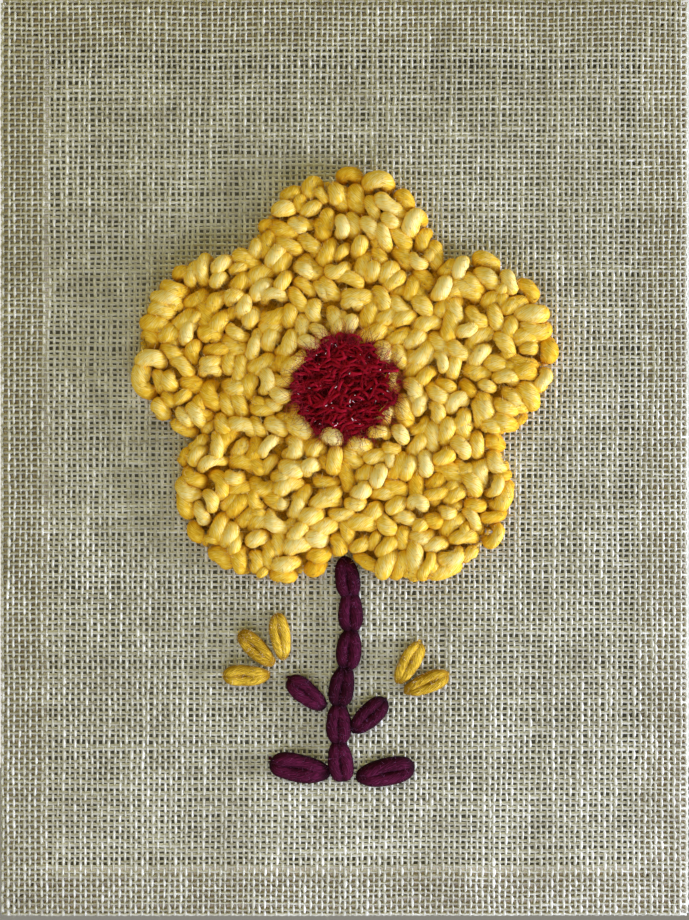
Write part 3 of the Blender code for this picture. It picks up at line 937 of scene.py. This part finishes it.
def settled_loops(chance, settings, rounds=130):
    """Spreads bean-shaped loops over the petals until they lie side by side.

    A bean is three discs on a short line. Discs of two beans that overlap push their beans apart
    and turn them; the petals' outline and the round middle push back.
    """
    disc_area = math.pi * settings.petal_tip ** 2
    spots = spiral_spots(int(disc_area / settings.loop_area), settings.petal_tip)
    distance = np.linalg.norm(spots, axis=1)
    outline = petal_outline(np.arctan2(spots[:, 1], spots[:, 0]), settings)
    spots = spots[(distance > MIDDLE_RADIUS) & (distance < outline - 1.5 * MM)]
    spots = spots + chance.normal(size=spots.shape) * 0.8 * MM
    count = len(spots)
    radius = settings.yarn_radius * (1 - settings.squeeze)
    reach = settings.loop_half
    offsets = np.array((-1.0, 0.0, 1.0)) * reach
    angle = chance.uniform(0, math.pi, count)
    same = np.repeat(np.arange(count), 3)
    other = same[:, None] != same[None]
    for _ in range(rounds):
        way = np.stack((np.cos(angle), np.sin(angle)), -1)
        beside = np.stack((-way[:, 1], way[:, 0]), -1)
        discs = (spots[:, None] + way[:, None] * offsets[None, :, None]).reshape(-1, 2)
        gap = discs[:, None] - discs[None]
        apart = np.linalg.norm(gap, axis=-1) + 1e-9
        push = np.clip(2 * radius - apart, 0, None) * other
        force = (gap * (push / apart)[..., None]).sum(1)
        from_middle = np.linalg.norm(discs, axis=1)
        away = discs / from_middle[:, None]
        outline = petal_outline(np.arctan2(discs[:, 1], discs[:, 0]), settings)
        too_far = np.clip(from_middle + 0.80 * radius - outline, 0, None)
        too_near = np.clip(MIDDLE_RADIUS + 0.75 * radius - from_middle, 0, None)
        force = force + away * (2.0 * (too_near - too_far))[:, None]
        force = force.reshape(count, 3, 2)
        spots = spots + 0.16 * force.sum(1)
        lever = (force * beside[:, None]).sum(-1) * offsets
        angle = angle + np.clip(0.10 * lever.sum(1) / reach ** 2, -0.15, 0.15)
    return spots, angle


def spots_between(spots, angle, settings, least):
    """Middles of the widest gaps between loops: farthest from all beans, and from each other."""
    reach = settings.loop_half
    way = np.stack((np.cos(angle), np.sin(angle)), -1)
    offsets = np.linspace(-reach, reach, 5)
    discs = (spots[:, None] + way[:, None] * offsets[None, :, None]).reshape(-1, 2)
    tries = spiral_spots(3600, settings.petal_tip)
    distance = np.linalg.norm(tries, axis=1)
    outline = petal_outline(np.arctan2(tries[:, 1], tries[:, 0]), settings)
    inside = (distance > MIDDLE_RADIUS + 3.4 * MM) & (distance < outline - 2.4 * MM)
    tries = tries[inside]
    room = np.linalg.norm(tries[:, None] - discs[None], axis=-1).min(1)
    order = np.argsort(-room)
    order = order[room[order] > least]
    chosen = []
    for spot in tries[order]:
        if all(np.hypot(*(spot - other)) > 4.6 * MM for other in chosen):
            chosen.append(spot)
    return np.array(chosen)


def roughened(shape, chance, stations, amount):
    """Moves the points of tubes in and out by smooth noise, so that no two are alike."""
    sides = shape["per_station"]
    rings = shape["points"].reshape(-1, stations, sides, 3)
    facing = unit(rings - rings.mean(2, keepdims=True))
    noise = chance.normal(size=rings.shape[:3])
    for _ in range(2):
        noise = (np.roll(noise, 1, 2) + 2 * noise + np.roll(noise, -1, 2)) / 4
        noise[:, 1:-1] = (noise[:, :-2] + 2 * noise[:, 1:-1] + noise[:, 2:]) / 4
    noise = noise / noise.std()
    shape["points"] = (rings + facing * (amount * noise)[..., None]).reshape(-1, 3)
    return shape


def arch_lines(spots, angle, half, height, lean, twist, bow, stations):
    """Middle lines of loops: with t over half a turn, x = -half * cos(t) ** 0.75 * (0.85
    + 0.2 * rise) and rise = sin(t) ** 0.7.

    The top leans by the given vector, bends sideways by the bow, and its direction is turned from
    the foot's by the twist.
    """
    t = np.linspace(0.02, math.pi - 0.02, stations)
    rise = np.sin(t) ** 0.7
    along = -np.sign(np.cos(t)) * np.abs(np.cos(t)) ** 0.75 * (0.85 + 0.2 * rise)
    turned = angle[:, None] + twist[:, None] * (rise[None] - 0.5)
    reach = half[:, None] * along[None]
    beside = bow[:, None] * (np.sin(t) ** 2)[None]
    x = spots[:, None, 0] + reach * np.cos(turned) - beside * np.sin(turned)
    z = spots[:, None, 1] + reach * np.sin(turned) + beside * np.cos(turned)
    x = x + lean[:, None, 0] * rise[None] ** 1.4
    z = z + lean[:, None, 1] * rise[None] ** 1.4
    y = FRONT_Y + 0.4 * MM - height[:, None] * rise[None]
    hint = np.stack((-np.sin(turned), np.zeros_like(turned), np.cos(turned)), -1)
    return np.stack((x, y, z), -1), hint, rise


def even_tone(chance, spread, shape):
    """A middling tone for each yarn, the same at all its stations, spread at random."""
    return np.broadcast_to(0.5 + spread * chance.normal(size=(shape[0], 1)), shape)


def on_bloom(points):
    """Moves points drawn round the bloom's middle to their place on the panel."""
    return points + np.array((BLOOM_MIDDLE[0], 0.0, BLOOM_MIDDLE[2]))


def surface_roots(chance, shape, count, least_out):
    """Random points of tubes that stand so far out of the cloth's face, and which way they face."""
    rings = shape["points"].reshape(-1, shape["per_station"], 3)
    facing = unit(rings - rings.mean(1, keepdims=True)).reshape(-1, 3)
    points = shape["points"]
    out = points[:, 1] < FRONT_Y - least_out
    points, facing = points[out], facing[out]
    chosen = chance.integers(0, len(points), count)
    return points[chosen], facing[chosen]


def loose_hairs(name, chance, shape, count, lengths, thickness, forward, least_out, material):
    """Hairs of a yarn: they start on its surface and stand off it at random angles.

    Forward is how much they turn towards the front.

    Their tone is 0.4 * chance + 0.6 * the share of the way from the lowest root to the highest:
    painted shade on low hairs, painted highlight on high ones.
    """
    roots, facing = surface_roots(chance, shape, count, least_out)
    directions = unit(chance.normal(size=(count, 3)) * 0.75 + facing + forward * OUT_OF_FRONT)
    lengths = chance.uniform(lengths[0], lengths[1], count)
    stations = 2 if lengths.max() < 3 * MM else 5
    hairs = strands(chance, roots, directions, lengths, thickness, 0.5, stations)
    out = -roots[:, 1]
    # Painted shade and highlight: hairs rooted lower are darker, higher ones paler.
    tone = 0.4 * chance.random(count) + 0.6 * (out - out.min()) / np.ptp(out)
    return add_piece(name, hairs, material, np.repeat(tone, len(hairs["points"]) // count))


def root_mat(name, chance, inner, outer, height, material):
    """A low lumpy mat under the loops, where their legs stand close together.

    For each angle a profile runs from the inner radius up to the mat's height, over to the outer
    radius and down to the cloth: radius = inner + (outer - inner) * share, and level = height
    * (1 - |2 * share - 1| ** 14) + lumps, where lumps is a sum of four waves over the mat.
    """
    angle = np.linspace(0, 2 * math.pi, 180, endpoint=False)
    share = np.linspace(0, 1, 26)
    near, far = inner(angle)[:, None], outer(angle)[:, None]
    radius = near + (far - near) * share[None]
    x, z = radius * np.cos(angle)[:, None], radius * np.sin(angle)[:, None]
    plateau = 1 - np.abs(2 * share - 1) ** 14
    lumps = np.zeros_like(x)
    for _ in range(4):
        way = unit(chance.normal(size=2)) * 2 * math.pi / (chance.uniform(5, 9) * MM)
        lumps = lumps + 0.3 * MM * np.sin(way[0] * x + way[1] * z + chance.uniform(0, 6))
    level = (height + lumps) * plateau[None]
    top = np.stack((x, FRONT_Y + 0.5 * MM - level, z), -1)
    points = on_bloom(top.reshape(-1, 3))
    number = np.arange(len(points)).reshape(x.shape)
    after = np.roll(number, -1, 0)
    quads = np.stack((number[:, :-1], after[:, :-1], after[:, 1:], number[:, 1:]), -1)
    shape = {
        "points": points,
        "quads": quads.reshape(-1, 4),
        "caps": np.zeros((0, 4), int),
        "quad_uv": np.zeros((quads.size // 4 * 4, 2)),
        "cap_uv": np.zeros((0, 2)),
    }
    return add_piece(name, shape, material)


def petal_loops(chance, settings):
    """The petals' loops as one shape, and their tones: large loops and smaller ones between."""
    spots, angle = settled_loops(chance, settings)
    gaps = spots_between(spots, angle, settings, 0.86 * settings.yarn_radius)
    large = len(spots)
    spots = np.concatenate((spots, gaps))
    count = len(spots)
    angle = np.concatenate((angle, chance.uniform(0, math.pi, count - large)))
    small = np.arange(count) >= large
    from_middle = np.linalg.norm(spots, axis=1)
    around = np.arctan2(spots[:, 1], spots[:, 0])
    to_rim = petal_outline(around, settings) - from_middle
    rim = np.clip(1 - to_rim / (6 * MM), 0, 1)
    fold = (around - math.pi / 2) * settings.petals / (2 * math.pi) % 1.0 - 0.5
    to_fold = np.abs(fold) * 2 * math.pi / settings.petals * from_middle
    groove = np.exp(-(to_fold / (4 * MM)) ** 2) * np.clip(from_middle / settings.petal_valley, 0, 1)

    size = np.clip(1 + 0.13 * chance.normal(size=count), 0.75, 1.28) * np.where(small, 0.8, 1.0)
    radius = settings.yarn_radius * size
    height = settings.loop_height - radius - np.where(small, 1.3 * MM, 0.0)
    height = height * (1 + 0.22 * chance.uniform(-1, 1, count) - 0.16 * groove - 0.18 * rim)
    outward = spots / from_middle[:, None]
    lean = outward * (1.6 * MM * rim)[:, None] + chance.normal(size=(count, 2)) * 0.8 * MM
    half = settings.loop_half * np.where(small, 0.55, 1.0)
    half = half * np.clip(1 + 0.23 * chance.normal(size=count), 0.6, 1.5)
    twist = 0.35 * chance.normal(size=count)
    bow = 1.1 * MM * chance.normal(size=count)
    middles, hint, rise = arch_lines(spots, angle, half, height, lean, twist, bow, LOOP_STATIONS)
    swell = radius[:, None] * (0.58 + 0.42 * rise[None] ** 0.6)
    shape = swept_tubes(on_bloom(middles), hint, swell, swell * 0.95, LOOP_SIDES,
                        turn=-math.pi / 2)
    shape = roughened(shape, chance, LOOP_STATIONS, 0.32 * MM)
    return shape, even_tone(chance, 0.09, (count, LOOP_STATIONS))


class WALLPIECE_OT_bloom(bpy.types.Operator):
    """Punches the petals' thick yellow loops and their stray hairs"""

    bl_idname = "wall_piece.bloom"
    bl_label = "Bloom"

    def execute(self, context):
        settings = context.scene.wall_piece_bloom
        chance = np.random.default_rng(5)
        shape, tone = petal_loops(chance, settings)
        # The yellow wool's tone follows height: painted shade between the loops, painted highlight
        # on the crests.
        tones = (tuple(settings.deep), tuple(settings.color), tuple(settings.pale))
        wool = yarn_material("yellow wool", tones, 2.1, 48, THICK_YARN_LINES, 0.42 * MM, 0.15, 0.42,
                             BLOOM_PAINTED_SHADING)
        loops = add_piece("bloom_loops", shape, wool, per_point(tone, shape))
        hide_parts("bloom_pile")

        loose = hair_material("yellow hair", *YELLOW_HAIR)
        stray = loose_hairs("bloom_hairs", chance, shape, settings.hairs, (2.0 * MM, 7.0 * MM),
                            0.15 * MM, 0.1, 4 * MM, loose)
        fuzz = loose_hairs("bloom_fuzz", chance, shape, settings.fuzz, (1.0 * MM, 2.9 * MM),
                           0.23 * MM, 0.0, 3 * MM, loose)

        # The mat is coloured darker than the yarn: painted shade deep under the loops.
        deep = painted_shade_mat_material("yellow wool roots", shade(settings.deep, 0.35),
                            shade(settings.deep, 1.1))
        mat = root_mat("bloom_roots", chance, circle_line(MIDDLE_RADIUS + 0.5 * MM),
                       petal_line(settings, 3.5 * MM), settings.mat_height, deep)
        return {"FINISHED"}


def rim_hairs(chance, count, material):
    """Hairs that radiate from the middle's rim over the petals: root + way * s, bent at random."""
    around = chance.uniform(0, 2 * math.pi, count)
    distance = MIDDLE_RADIUS - chance.uniform(0.0, 3.5, count) * MM
    level = FRONT_Y - chance.uniform(8.0, 10.8, count) * MM
    outward = np.stack((np.cos(around), np.zeros(count), np.sin(around)), -1)
    roots = on_bloom(outward * distance[:, None])
    roots[:, 1] = level
    directions = outward + 0.42 * chance.normal(size=(count, 3)) + 0.12 * OUT_OF_FRONT
    directions[:, 1] = np.maximum(directions[:, 1], -0.45)
    directions = unit(directions)
    lengths = chance.uniform(3.5, 10.5, count) * MM
    hairs = strands(chance, roots, directions, lengths, 0.24 * MM, 0.45)
    return add_piece("middle_rim_hairs", hairs, material, hair_tone(chance, hairs, count))


def glitter(chance, shape, count):
    """Short bright strips of glitter thread on the upper side of the loops."""
    roots, facing = surface_roots(chance, shape, count, 5.5 * MM)
    directions = unit(chance.normal(size=(count, 3)) * np.array((1.0, 0.25, 1.0)))
    lengths = chance.uniform(0.4, 1.6, count) * MM
    roots = roots + 0.20 * MM * facing
    strips = strands(chance, roots, directions, lengths, 0.40 * MM, 0.3)
    tone = hair_tone(chance, strips, count)
    return add_piece("middle_glints", strips, painted_glint_material(), tone)


class WALLPIECE_OT_middle(bpy.types.Operator):
    """Fills the bloom's round middle with thin hairy loops and glitter thread"""

    bl_idname = "wall_piece.middle"
    bl_label = "Bloom's middle"

    def execute(self, context):
        settings = context.scene.wall_piece_middle
        chance = np.random.default_rng(12)
        count = settings.loops
        spots = spiral_spots(count, MIDDLE_RADIUS - 0.6 * MM)
        spots = spots + chance.normal(size=spots.shape) * 0.5 * MM
        angle = 0.15 + 0.55 * chance.normal(size=count)
        half = chance.uniform(2.2, 4.6, count) * MM
        radius = settings.yarn_radius * np.clip(1 + 0.15 * chance.normal(size=count), 0.7, 1.3)
        height = settings.loop_height - radius
        height = height * (1 + 0.22 * chance.uniform(-1, 1, count))
        lean = chance.normal(size=(count, 2)) * 1.6 * MM
        twist = 0.8 * chance.normal(size=count)
        bow = 1.2 * MM * chance.normal(size=count)
        middles, hint, rise = arch_lines(spots, angle, half, height, lean, twist, bow,
                                         THIN_LOOP_STATIONS)
        swell = radius[:, None] * (0.7 + 0.3 * rise[None])
        shape = swept_tubes(on_bloom(middles), hint, swell, swell, THIN_LOOP_SIDES,
                            turn=-math.pi / 2)
        tone = even_tone(chance, 0.20, (count, THIN_LOOP_STATIONS))
        color = tuple(settings.color)
        # The mohair's tone follows height: painted shade low down, painted highlight on top.
        tones = (shade(color, 0.16), color, MOHAIR_PALE_AND_HIGHLIGHT)
        wool = yarn_material("burgundy mohair", tones, 0.5, 40, THIN_YARN_LINES, 0.3 * MM, 0.0,
                             0.50, MIDDLE_PAINTED_SHADING)
        loops = add_piece("middle_loops", shape, wool, per_point(tone, shape))
        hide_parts("middle_pile")
        loose = hair_material("mohair", *MOHAIR_HAIR)
        stray = loose_hairs("middle_hairs", chance, shape, settings.hairs, (2.0 * MM, 6.5 * MM),
                            0.17 * MM, 0.25, 3 * MM, loose)
        rim_stray = rim_hairs(chance, settings.rim_hairs, loose)
        glints = glitter(chance, shape, settings.glints)

        # The mat is coloured darker than the yarn: painted shade deep under the loops.
        deep = painted_shade_mat_material("mohair roots", shade(color, 0.10), shade(color, 0.60))
        mat = root_mat("middle_roots", chance, circle_line(0.4 * MM),
                       circle_line(MIDDLE_RADIUS + 0.4 * MM), 5.0 * MM, deep)
        return {"FINISHED"}


# Chain stitches


def chain_links(chance, roots, ways, lengths, widths, height, settings):
    """Middle lines of chain stitches: a teardrop of yarn that starts and ends at the root.

    With a from 0 to a full turn, along = length * (1 - cos a) / 2 and across = 1.16 * reach
    * (sin a + skew * sin(a / 2) ** 2) * |sin(a / 2)| ** 0.6. The yarn rises out of the cloth near
    the root as (2.2 * |sin(a / 2)|) ** 0.8, at most 1, and its far end at half a turn dives by a
    bell of 0.62 of that height.
    """
    a = np.linspace(0.10, 2 * math.pi - 0.10, LINK_STATIONS)
    radius = widths * settings.yarn_share
    reach = widths / 2 - radius
    along = (lengths - radius)[:, None] * ((1 - np.cos(a)) / 2)[None]
    skew = chance.uniform(-0.30, 0.30, (len(roots), 1)) * np.sin(a / 2)[None] ** 2
    across = reach[:, None] * (np.sin(a)[None] + skew) * 1.16
    across = across * (np.abs(np.sin(a / 2)) ** 0.6)[None]
    lift = np.clip(np.abs(np.sin(a / 2)) * 2.2, 0, 1) ** 0.8
    lift = lift * (1 - 0.62 * np.exp(-((a - math.pi) / 0.42) ** 2))
    beside = np.stack((-ways[:, 1], ways[:, 0]), -1)
    flat = roots[:, None] + ways[:, None] * along[..., None] + beside[:, None] * across[..., None]
    rise = (height - radius * 0.9)[:, None] * lift[None]
    middles = np.stack((flat[..., 0], FRONT_Y - rise, flat[..., 1]), -1)
    hint = np.cross(unit(np.gradient(middles, axis=1)), OUT_OF_FRONT)
    swell = radius[:, None] * (0.60 + 0.40 * lift[None])
    return middles, -hint, swell


def stem_line(settings):
    """Roots of the stem's links and its last end, swaying as one sine over its height."""
    middle, half = middle_and_half("stem")
    share = np.linspace(0, 1, settings.stem_links + 1)
    top = middle[2] + half[2]
    x = CLOTH_MIDDLE[0] + settings.stem_sway * np.sin(2 * math.pi * share)
    return np.stack((x, top - share * 2 * half[2]), -1)


def straight_links(table):
    """Roots, directions, lengths and widths of the stitches in a table, centred on their nodes."""
    names, angles, lengths, widths = zip(*table)
    angle = np.radians(angles)
    ways = np.stack((np.cos(angle), np.sin(angle)), -1)
    lengths, widths = np.array(lengths), np.array(widths)
    middles = np.array([middle_and_half(name)[0][[0, 2]] for name in names])
    return middles - ways * lengths[:, None] / 2, ways, lengths, widths


def link_piece(name, chance, links, height, material, settings):
    """One mesh of chain stitches from their roots, directions, lengths and widths."""
    roots, ways, lengths, widths = links
    heights = np.full(len(roots), height)
    middles, hint, swell = chain_links(chance, roots, ways, lengths, widths, heights, settings)
    shape = swept_tubes(middles, hint, swell, swell * 0.92, LINK_SIDES, turn=-math.pi / 2)
    shape = roughened(shape, chance, LINK_STATIONS, 0.10 * MM)
    tone = even_tone(chance, 0.08, swell.shape)
    return add_piece(name, shape, material, per_point(tone, shape)), shape


class WALLPIECE_OT_chains(bpy.types.Operator):
    """Lays the chain stitches of the stem, shoots, leaves and buds"""

    bl_idname = "wall_piece.chains"
    bl_label = "Chain stitches"

    def execute(self, context):
        settings = context.scene.wall_piece_chain
        chance = np.random.default_rng(33)
        color = tuple(settings.color)
        # The plum wool's tone follows height: painted shade low down, painted highlight on top.
        tones = (shade(color, 0.25), color, PLUM_PALE_AND_HIGHLIGHT)
        plum = yarn_material("plum wool", tones, 1.7, 20, CHAIN_YARN_LINES, 0.35 * MM, 0.0, 0.40,
                             PLUM_PAINTED_SHADING)
        line = stem_line(settings)
        step = np.diff(line, axis=0)
        length = np.linalg.norm(step, axis=1)
        overlap = 1.6 * MM
        ways = step / length[:, None]
        roots = line[:-1] - ways * overlap * (np.arange(len(step)) > 0)[:, None]
        widths = np.full(len(step), settings.link_width)
        links = (roots, ways, length + overlap * 0.9, widths)
        stem, stem_shape = link_piece("stem_links", chance, links, settings.height, plum, settings)
        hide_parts("stem")
        sides, side_shape = link_piece("leaf_links", chance, straight_links(SIDE_LINKS),
                                       settings.height, plum, settings)
        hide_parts(*[row[0] for row in SIDE_LINKS])
        loose = hair_material("plum hair", shade(color, 1.2), PLUM_HAIR_TIP)
        both = joined((stem_shape, side_shape))
        fuzz = loose_hairs("plum_hairs", chance, both, 1300, (0.8 * MM, 2.4 * MM), 0.10 * MM,
                           0.0, 1.5 * MM, loose)

        bloom = context.scene.wall_piece_bloom
        # The buds' tone follows height: painted shade, deepest where the yarn meets the cloth.
        tones = (shade(bloom.deep, 0.42), tuple(bloom.color), tuple(bloom.pale))
        yellow = yarn_material("yellow wool, plain", tones, 1.4, 20, CHAIN_YARN_LINES, 0.35 * MM,
                               0.15, 0.40, BUD_PAINTED_SHADING)
        buds, bud_shape = link_piece("bud_links", chance, straight_links(BUD_LINKS),
                                     settings.height, yellow, settings)
        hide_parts(*[row[0] for row in BUD_LINKS])
        bud_hair = hair_material("bud hair", shade(bloom.color, 1.0), BUD_HAIR_TIP)
        bud_fuzz = loose_hairs("bud_hairs", chance, bud_shape, 700, (0.8 * MM, 2.2 * MM),
                               0.10 * MM, 0.0, 1.5 * MM, bud_hair)
        return {"FINISHED"}


# Back of the cloth


def flat_stitches(starts, ends, radius, height):
    """Flat stitches on the cloth's back from start to end: they rise and sink as sin(t) ** 0.5."""
    share = np.linspace(0, 1, FLAT_STATIONS)
    rise = np.sin(math.pi * np.clip(share, 0.03, 0.97)) ** 0.5
    flat = starts[:, None] + (ends - starts)[:, None] * share[:, None]
    inner_y = FRONT_Y + 1.0 * MM
    level = inner_y - 0.3 * MM + (height - radius * 0.55) * rise
    middles = np.stack((flat[..., 0], np.broadcast_to(level, flat.shape[:2]), flat[..., 1]), -1)
    into_room = -OUT_OF_FRONT
    hint = np.cross(into_room, unit(np.gradient(middles, axis=1)))
    swell = radius * (0.45 + 0.55 * rise)
    return swept_tubes(middles, hint, swell[None], swell[None] * 0.6, FLAT_SIDES,
                       turn=-math.pi / 2)


def row_stitches(inner, outer, pitch, length, spread):
    """Ends of stitches along closed rows between two outlines, given as radius over angle."""
    starts, ends = [], []
    angle = np.linspace(0, 2 * math.pi, 721)
    near, far = inner(angle), outer(angle)
    rows = max(1, int(round((far.mean() - near.mean()) / pitch)))
    for row in range(rows):
        radius = near + (far - near) * (row + 0.5) / rows
        x, z = radius * np.cos(angle), radius * np.sin(angle)
        travelled = np.concatenate(([0], np.cumsum(np.hypot(np.diff(x), np.diff(z)))))
        count = max(3, int(travelled[-1] / length))
        marks = (np.arange(count + 1) + spread * row) / count * travelled[-1]
        marks = marks % travelled[-1]
        line = np.stack((np.interp(marks, travelled, x), np.interp(marks, travelled, z)), -1)
        starts.append(line[:-1])
        ends.append(line[1:])
    return np.concatenate(starts), np.concatenate(ends)


def link_stitches(table):
    """Starts and ends of one flat stitch behind each straight chain stitch."""
    roots, ways, lengths, _ = straight_links(table)
    return roots, roots + ways * lengths[:, None]


def back_yarn(name, deep, color, pale):
    """Yarn of the flat stitches: deep, middle and pale tones, with no change over its height."""
    tones = (deep, color, pale)
    return yarn_material(name, tones, 1.4, 20, CHAIN_YARN_LINES, 0.35 * MM, 0.0, 0.45)


class WALLPIECE_OT_reverse(bpy.types.Operator):
    """Sews the flat stitches that the yarns leave on the back of the cloth"""

    bl_idname = "wall_piece.reverse"
    bl_label = "Back stitches"

    def execute(self, context):
        settings = context.scene.wall_piece_reverse
        bloom = context.scene.wall_piece_bloom
        centre = BLOOM_MIDDLE[[0, 2]]
        chance = np.random.default_rng(8)
        yellow = back_yarn("yellow wool, back", tuple(bloom.deep), tuple(bloom.color),
                           tuple(bloom.pale))
        red = tuple(context.scene.wall_piece_middle.color)
        burgundy = back_yarn("burgundy mohair, back", shade(red, 0.3), red, shade(red, 1.8))
        violet = tuple(context.scene.wall_piece_chain.color)
        plum = back_yarn("plum wool, back", shade(violet, 0.5), violet, shade(violet, 3.0))

        hole = circle_line(MIDDLE_RADIUS)
        rows = row_stitches(hole, petal_line(bloom), settings.row_pitch,
                            settings.stitch_length, 0.37)
        middle_rows = row_stitches(circle_line(0.4 * MM), hole, 0.6 * settings.row_pitch,
                                   0.7 * settings.stitch_length, 0.31)
        stem = stem_line(context.scene.wall_piece_chain)
        sides = link_stitches(SIDE_LINKS)
        plum_ends = (np.concatenate((stem[:-1], sides[0])), np.concatenate((stem[1:], sides[1])))
        pieces = (
            ("bloom_back", rows, centre, 2.45, yellow, "yellow_wool", ["bloom_reverse"]),
            ("middle_back", middle_rows, centre, 1.5, burgundy, "burgundy_mohair",
             ["middle_reverse"]),
            ("plum_back", plum_ends, 0.0, 2.1, plum, "plum_wool",
             ["stem_reverse"] + [row[0] + "_reverse" for row in SIDE_LINKS]),
            ("bud_back", link_stitches(BUD_LINKS), 0.0, 2.1, yellow, "yellow_wool",
             [row[0] + "_reverse" for row in BUD_LINKS]),
        )
        for name, (starts, ends), shift, radius, material, slot, nodes in pieces:
            shape = flat_stitches(starts + shift, ends + shift, radius * MM, settings.height)
            tone = even_tone(chance, 0.09, (len(starts), FLAT_STATIONS))
            piece = add_piece(name, shape, material, per_point(tone, shape))
            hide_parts(*nodes)
        return {"FINISHED"}


# Stage


def stage_sheet(name, corners, material):
    """A flat sheet of the stage, given by its four corners."""
    mesh = bpy.data.meshes.new(name)
    mesh.from_pydata(corners, [], [(0, 1, 2, 3)])
    mesh.materials.append(material)
    sheet = bpy.data.objects.new(name, mesh)
    bpy.context.collection.objects.link(sheet)
    return sheet


def plain_material(name, color):
    """A matt surface of the stage in one colour."""
    material, _, shader = new_material(name)
    set_values(shader, Base_Color=(*color, 1.0), Roughness=0.9)
    return material


def see_through_behind(material):
    """Lets a card be seen through from its back, so that it hides nothing from other sides."""
    tree = material.node_tree
    shader = tree.nodes["Principled BSDF"]
    clear = add_node(tree, "ShaderNodeBsdfTransparent")
    side = add_node(tree, "ShaderNodeNewGeometry")
    mixed = add_node(tree, "ShaderNodeMixShader",
                     {0: side.outputs["Backfacing"], 1: shader.outputs[0], 2: clear.outputs[0]})
    tree.links.new(mixed.outputs[0], tree.nodes["Material Output"].inputs["Surface"])
    return material


def area_light(name, place, target, size, power, color):
    """A rectangular light at a place, turned to its target."""
    lamp = bpy.data.lights.new(name, "AREA")
    lamp.shape = "RECTANGLE"
    lamp.size, lamp.size_y = size
    lamp.energy = power
    lamp.color = color
    light = bpy.data.objects.new(name, lamp)
    bpy.context.collection.objects.link(light)
    away = np.array(place) - np.array(target)
    light.location = place
    light.rotation_euler = Vector(away).to_track_quat("Z", "Y").to_euler()
    return light


def soft_room():
    """Warm soft light from all round; a pale backdrop where the camera looks past everything."""
    world = bpy.data.worlds.new("soft room")
    world.use_nodes = True
    tree = world.node_tree
    glow = tree.nodes["Background"]
    set_values(glow, Color=ROOM_GLOW, Strength=ROOM_STRENGTH)
    pale = add_node(tree, "ShaderNodeBackground", {"Color": BACKDROP})
    path = add_node(tree, "ShaderNodeLightPath")
    mixed = add_node(tree, "ShaderNodeMixShader",
                     {0: path.outputs["Is Camera Ray"], 1: glow.outputs[0], 2: pale.outputs[0]})
    tree.links.new(mixed.outputs[0], tree.nodes["World Output"].inputs["Surface"])
    return world


class WALLPIECE_OT_stage(bpy.types.Operator):
    """Sets the pale floor, the dim card of painted shade behind the weave, the soft lights and the
    camera
    """

    bl_idname = "wall_piece.stage"
    bl_label = "Stage"

    def execute(self, context):
        settings = context.scene.wall_piece_stage
        scene = context.scene
        middle = CLOTH_MIDDLE
        floor_z = middle[2] - CLOTH_HALF[2] - settings.floor_drop
        inner_x, inner_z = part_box("bar_right")[0][0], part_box("bar_top")[0][2] - middle[2]
        floor = plain_material("pale floor", FLOOR_COLOR)
        around = ((-1, -1), (1, -1), (1, 1), (-1, 1))
        stage_sheet("floor", [(x * FLOOR_HALF, y * FLOOR_HALF, floor_z) for x, y in around], floor)
        # A dark card of painted shade behind the weave, seen through its holes.
        dim = see_through_behind(plain_material("dim recess", settings.painted_shade_card_color))
        shade_x, shade_z = inner_x - CARD_GAP, inner_z - CARD_GAP
        card = stage_sheet("recess", [(x * shade_x, FRONT_Y + CARD_DEPTH, middle[2] + z * shade_z)
                                      for x, z in around], dim)
        card.visible_shadow = False

        for name, (x, y, z), aim_y, size, power, color in LIGHTS:
            target = (0.0, aim_y, middle[2])
            area_light(name, (x, y, middle[2] + z), target, size, power, color)
        scene.world = soft_room()

        camera_data = bpy.data.cameras.new("camera")
        camera_data.lens = settings.lens
        camera_data.clip_start = 0.01
        camera = bpy.data.objects.new("camera", camera_data)
        bpy.context.collection.objects.link(camera)
        camera.location = (0.0, FRONT_Y - settings.distance, middle[2] - settings.camera_drop)
        camera.rotation_euler = (math.radians(90), 0.0, 0.0)
        scene.camera = camera
        scene.view_settings.view_transform = "Standard"
        return {"FINISHED"}


STEPS = (
    WALLPIECE_OT_burlap,
    WALLPIECE_OT_bars,
    WALLPIECE_OT_bloom,
    WALLPIECE_OT_middle,
    WALLPIECE_OT_chains,
    WALLPIECE_OT_reverse,
    WALLPIECE_OT_stage,
)


class WALLPIECE_PT_panel(bpy.types.Panel):
    """Lists the pieces of the wall piece"""

    bl_label = "Punch needle wall piece"
    bl_space_type = "VIEW_3D"
    bl_region_type = "UI"
    bl_category = "Wall piece"

    def draw(self, context):
        for step in STEPS:
            self.layout.operator(step.bl_idname)
        for name, kind in SETTINGS.items():
            box = self.layout.box()
            for prop in kind.__annotations__:
                box.prop(getattr(context.scene, name), prop)


def register():
    for name, kind in SETTINGS.items():
        bpy.utils.register_class(kind)
        setattr(bpy.types.Scene, name, bpy.props.PointerProperty(type=kind))
    for step in STEPS:
        bpy.utils.register_class(step)
    bpy.utils.register_class(WALLPIECE_PT_panel)


def unregister():
    bpy.utils.unregister_class(WALLPIECE_PT_panel)
    for step in reversed(STEPS):
        bpy.utils.unregister_class(step)
    for name, kind in SETTINGS.items():
        delattr(bpy.types.Scene, name)
        bpy.utils.unregister_class(kind)


def main():
    register()
    bpy.ops.wall_piece.burlap()
    bpy.ops.wall_piece.bars()
    bpy.ops.wall_piece.bloom()
    bpy.ops.wall_piece.middle()
    bpy.ops.wall_piece.chains()
    bpy.ops.wall_piece.reverse()
    bpy.ops.wall_piece.stage()


if __name__ == "__main__":
    main()
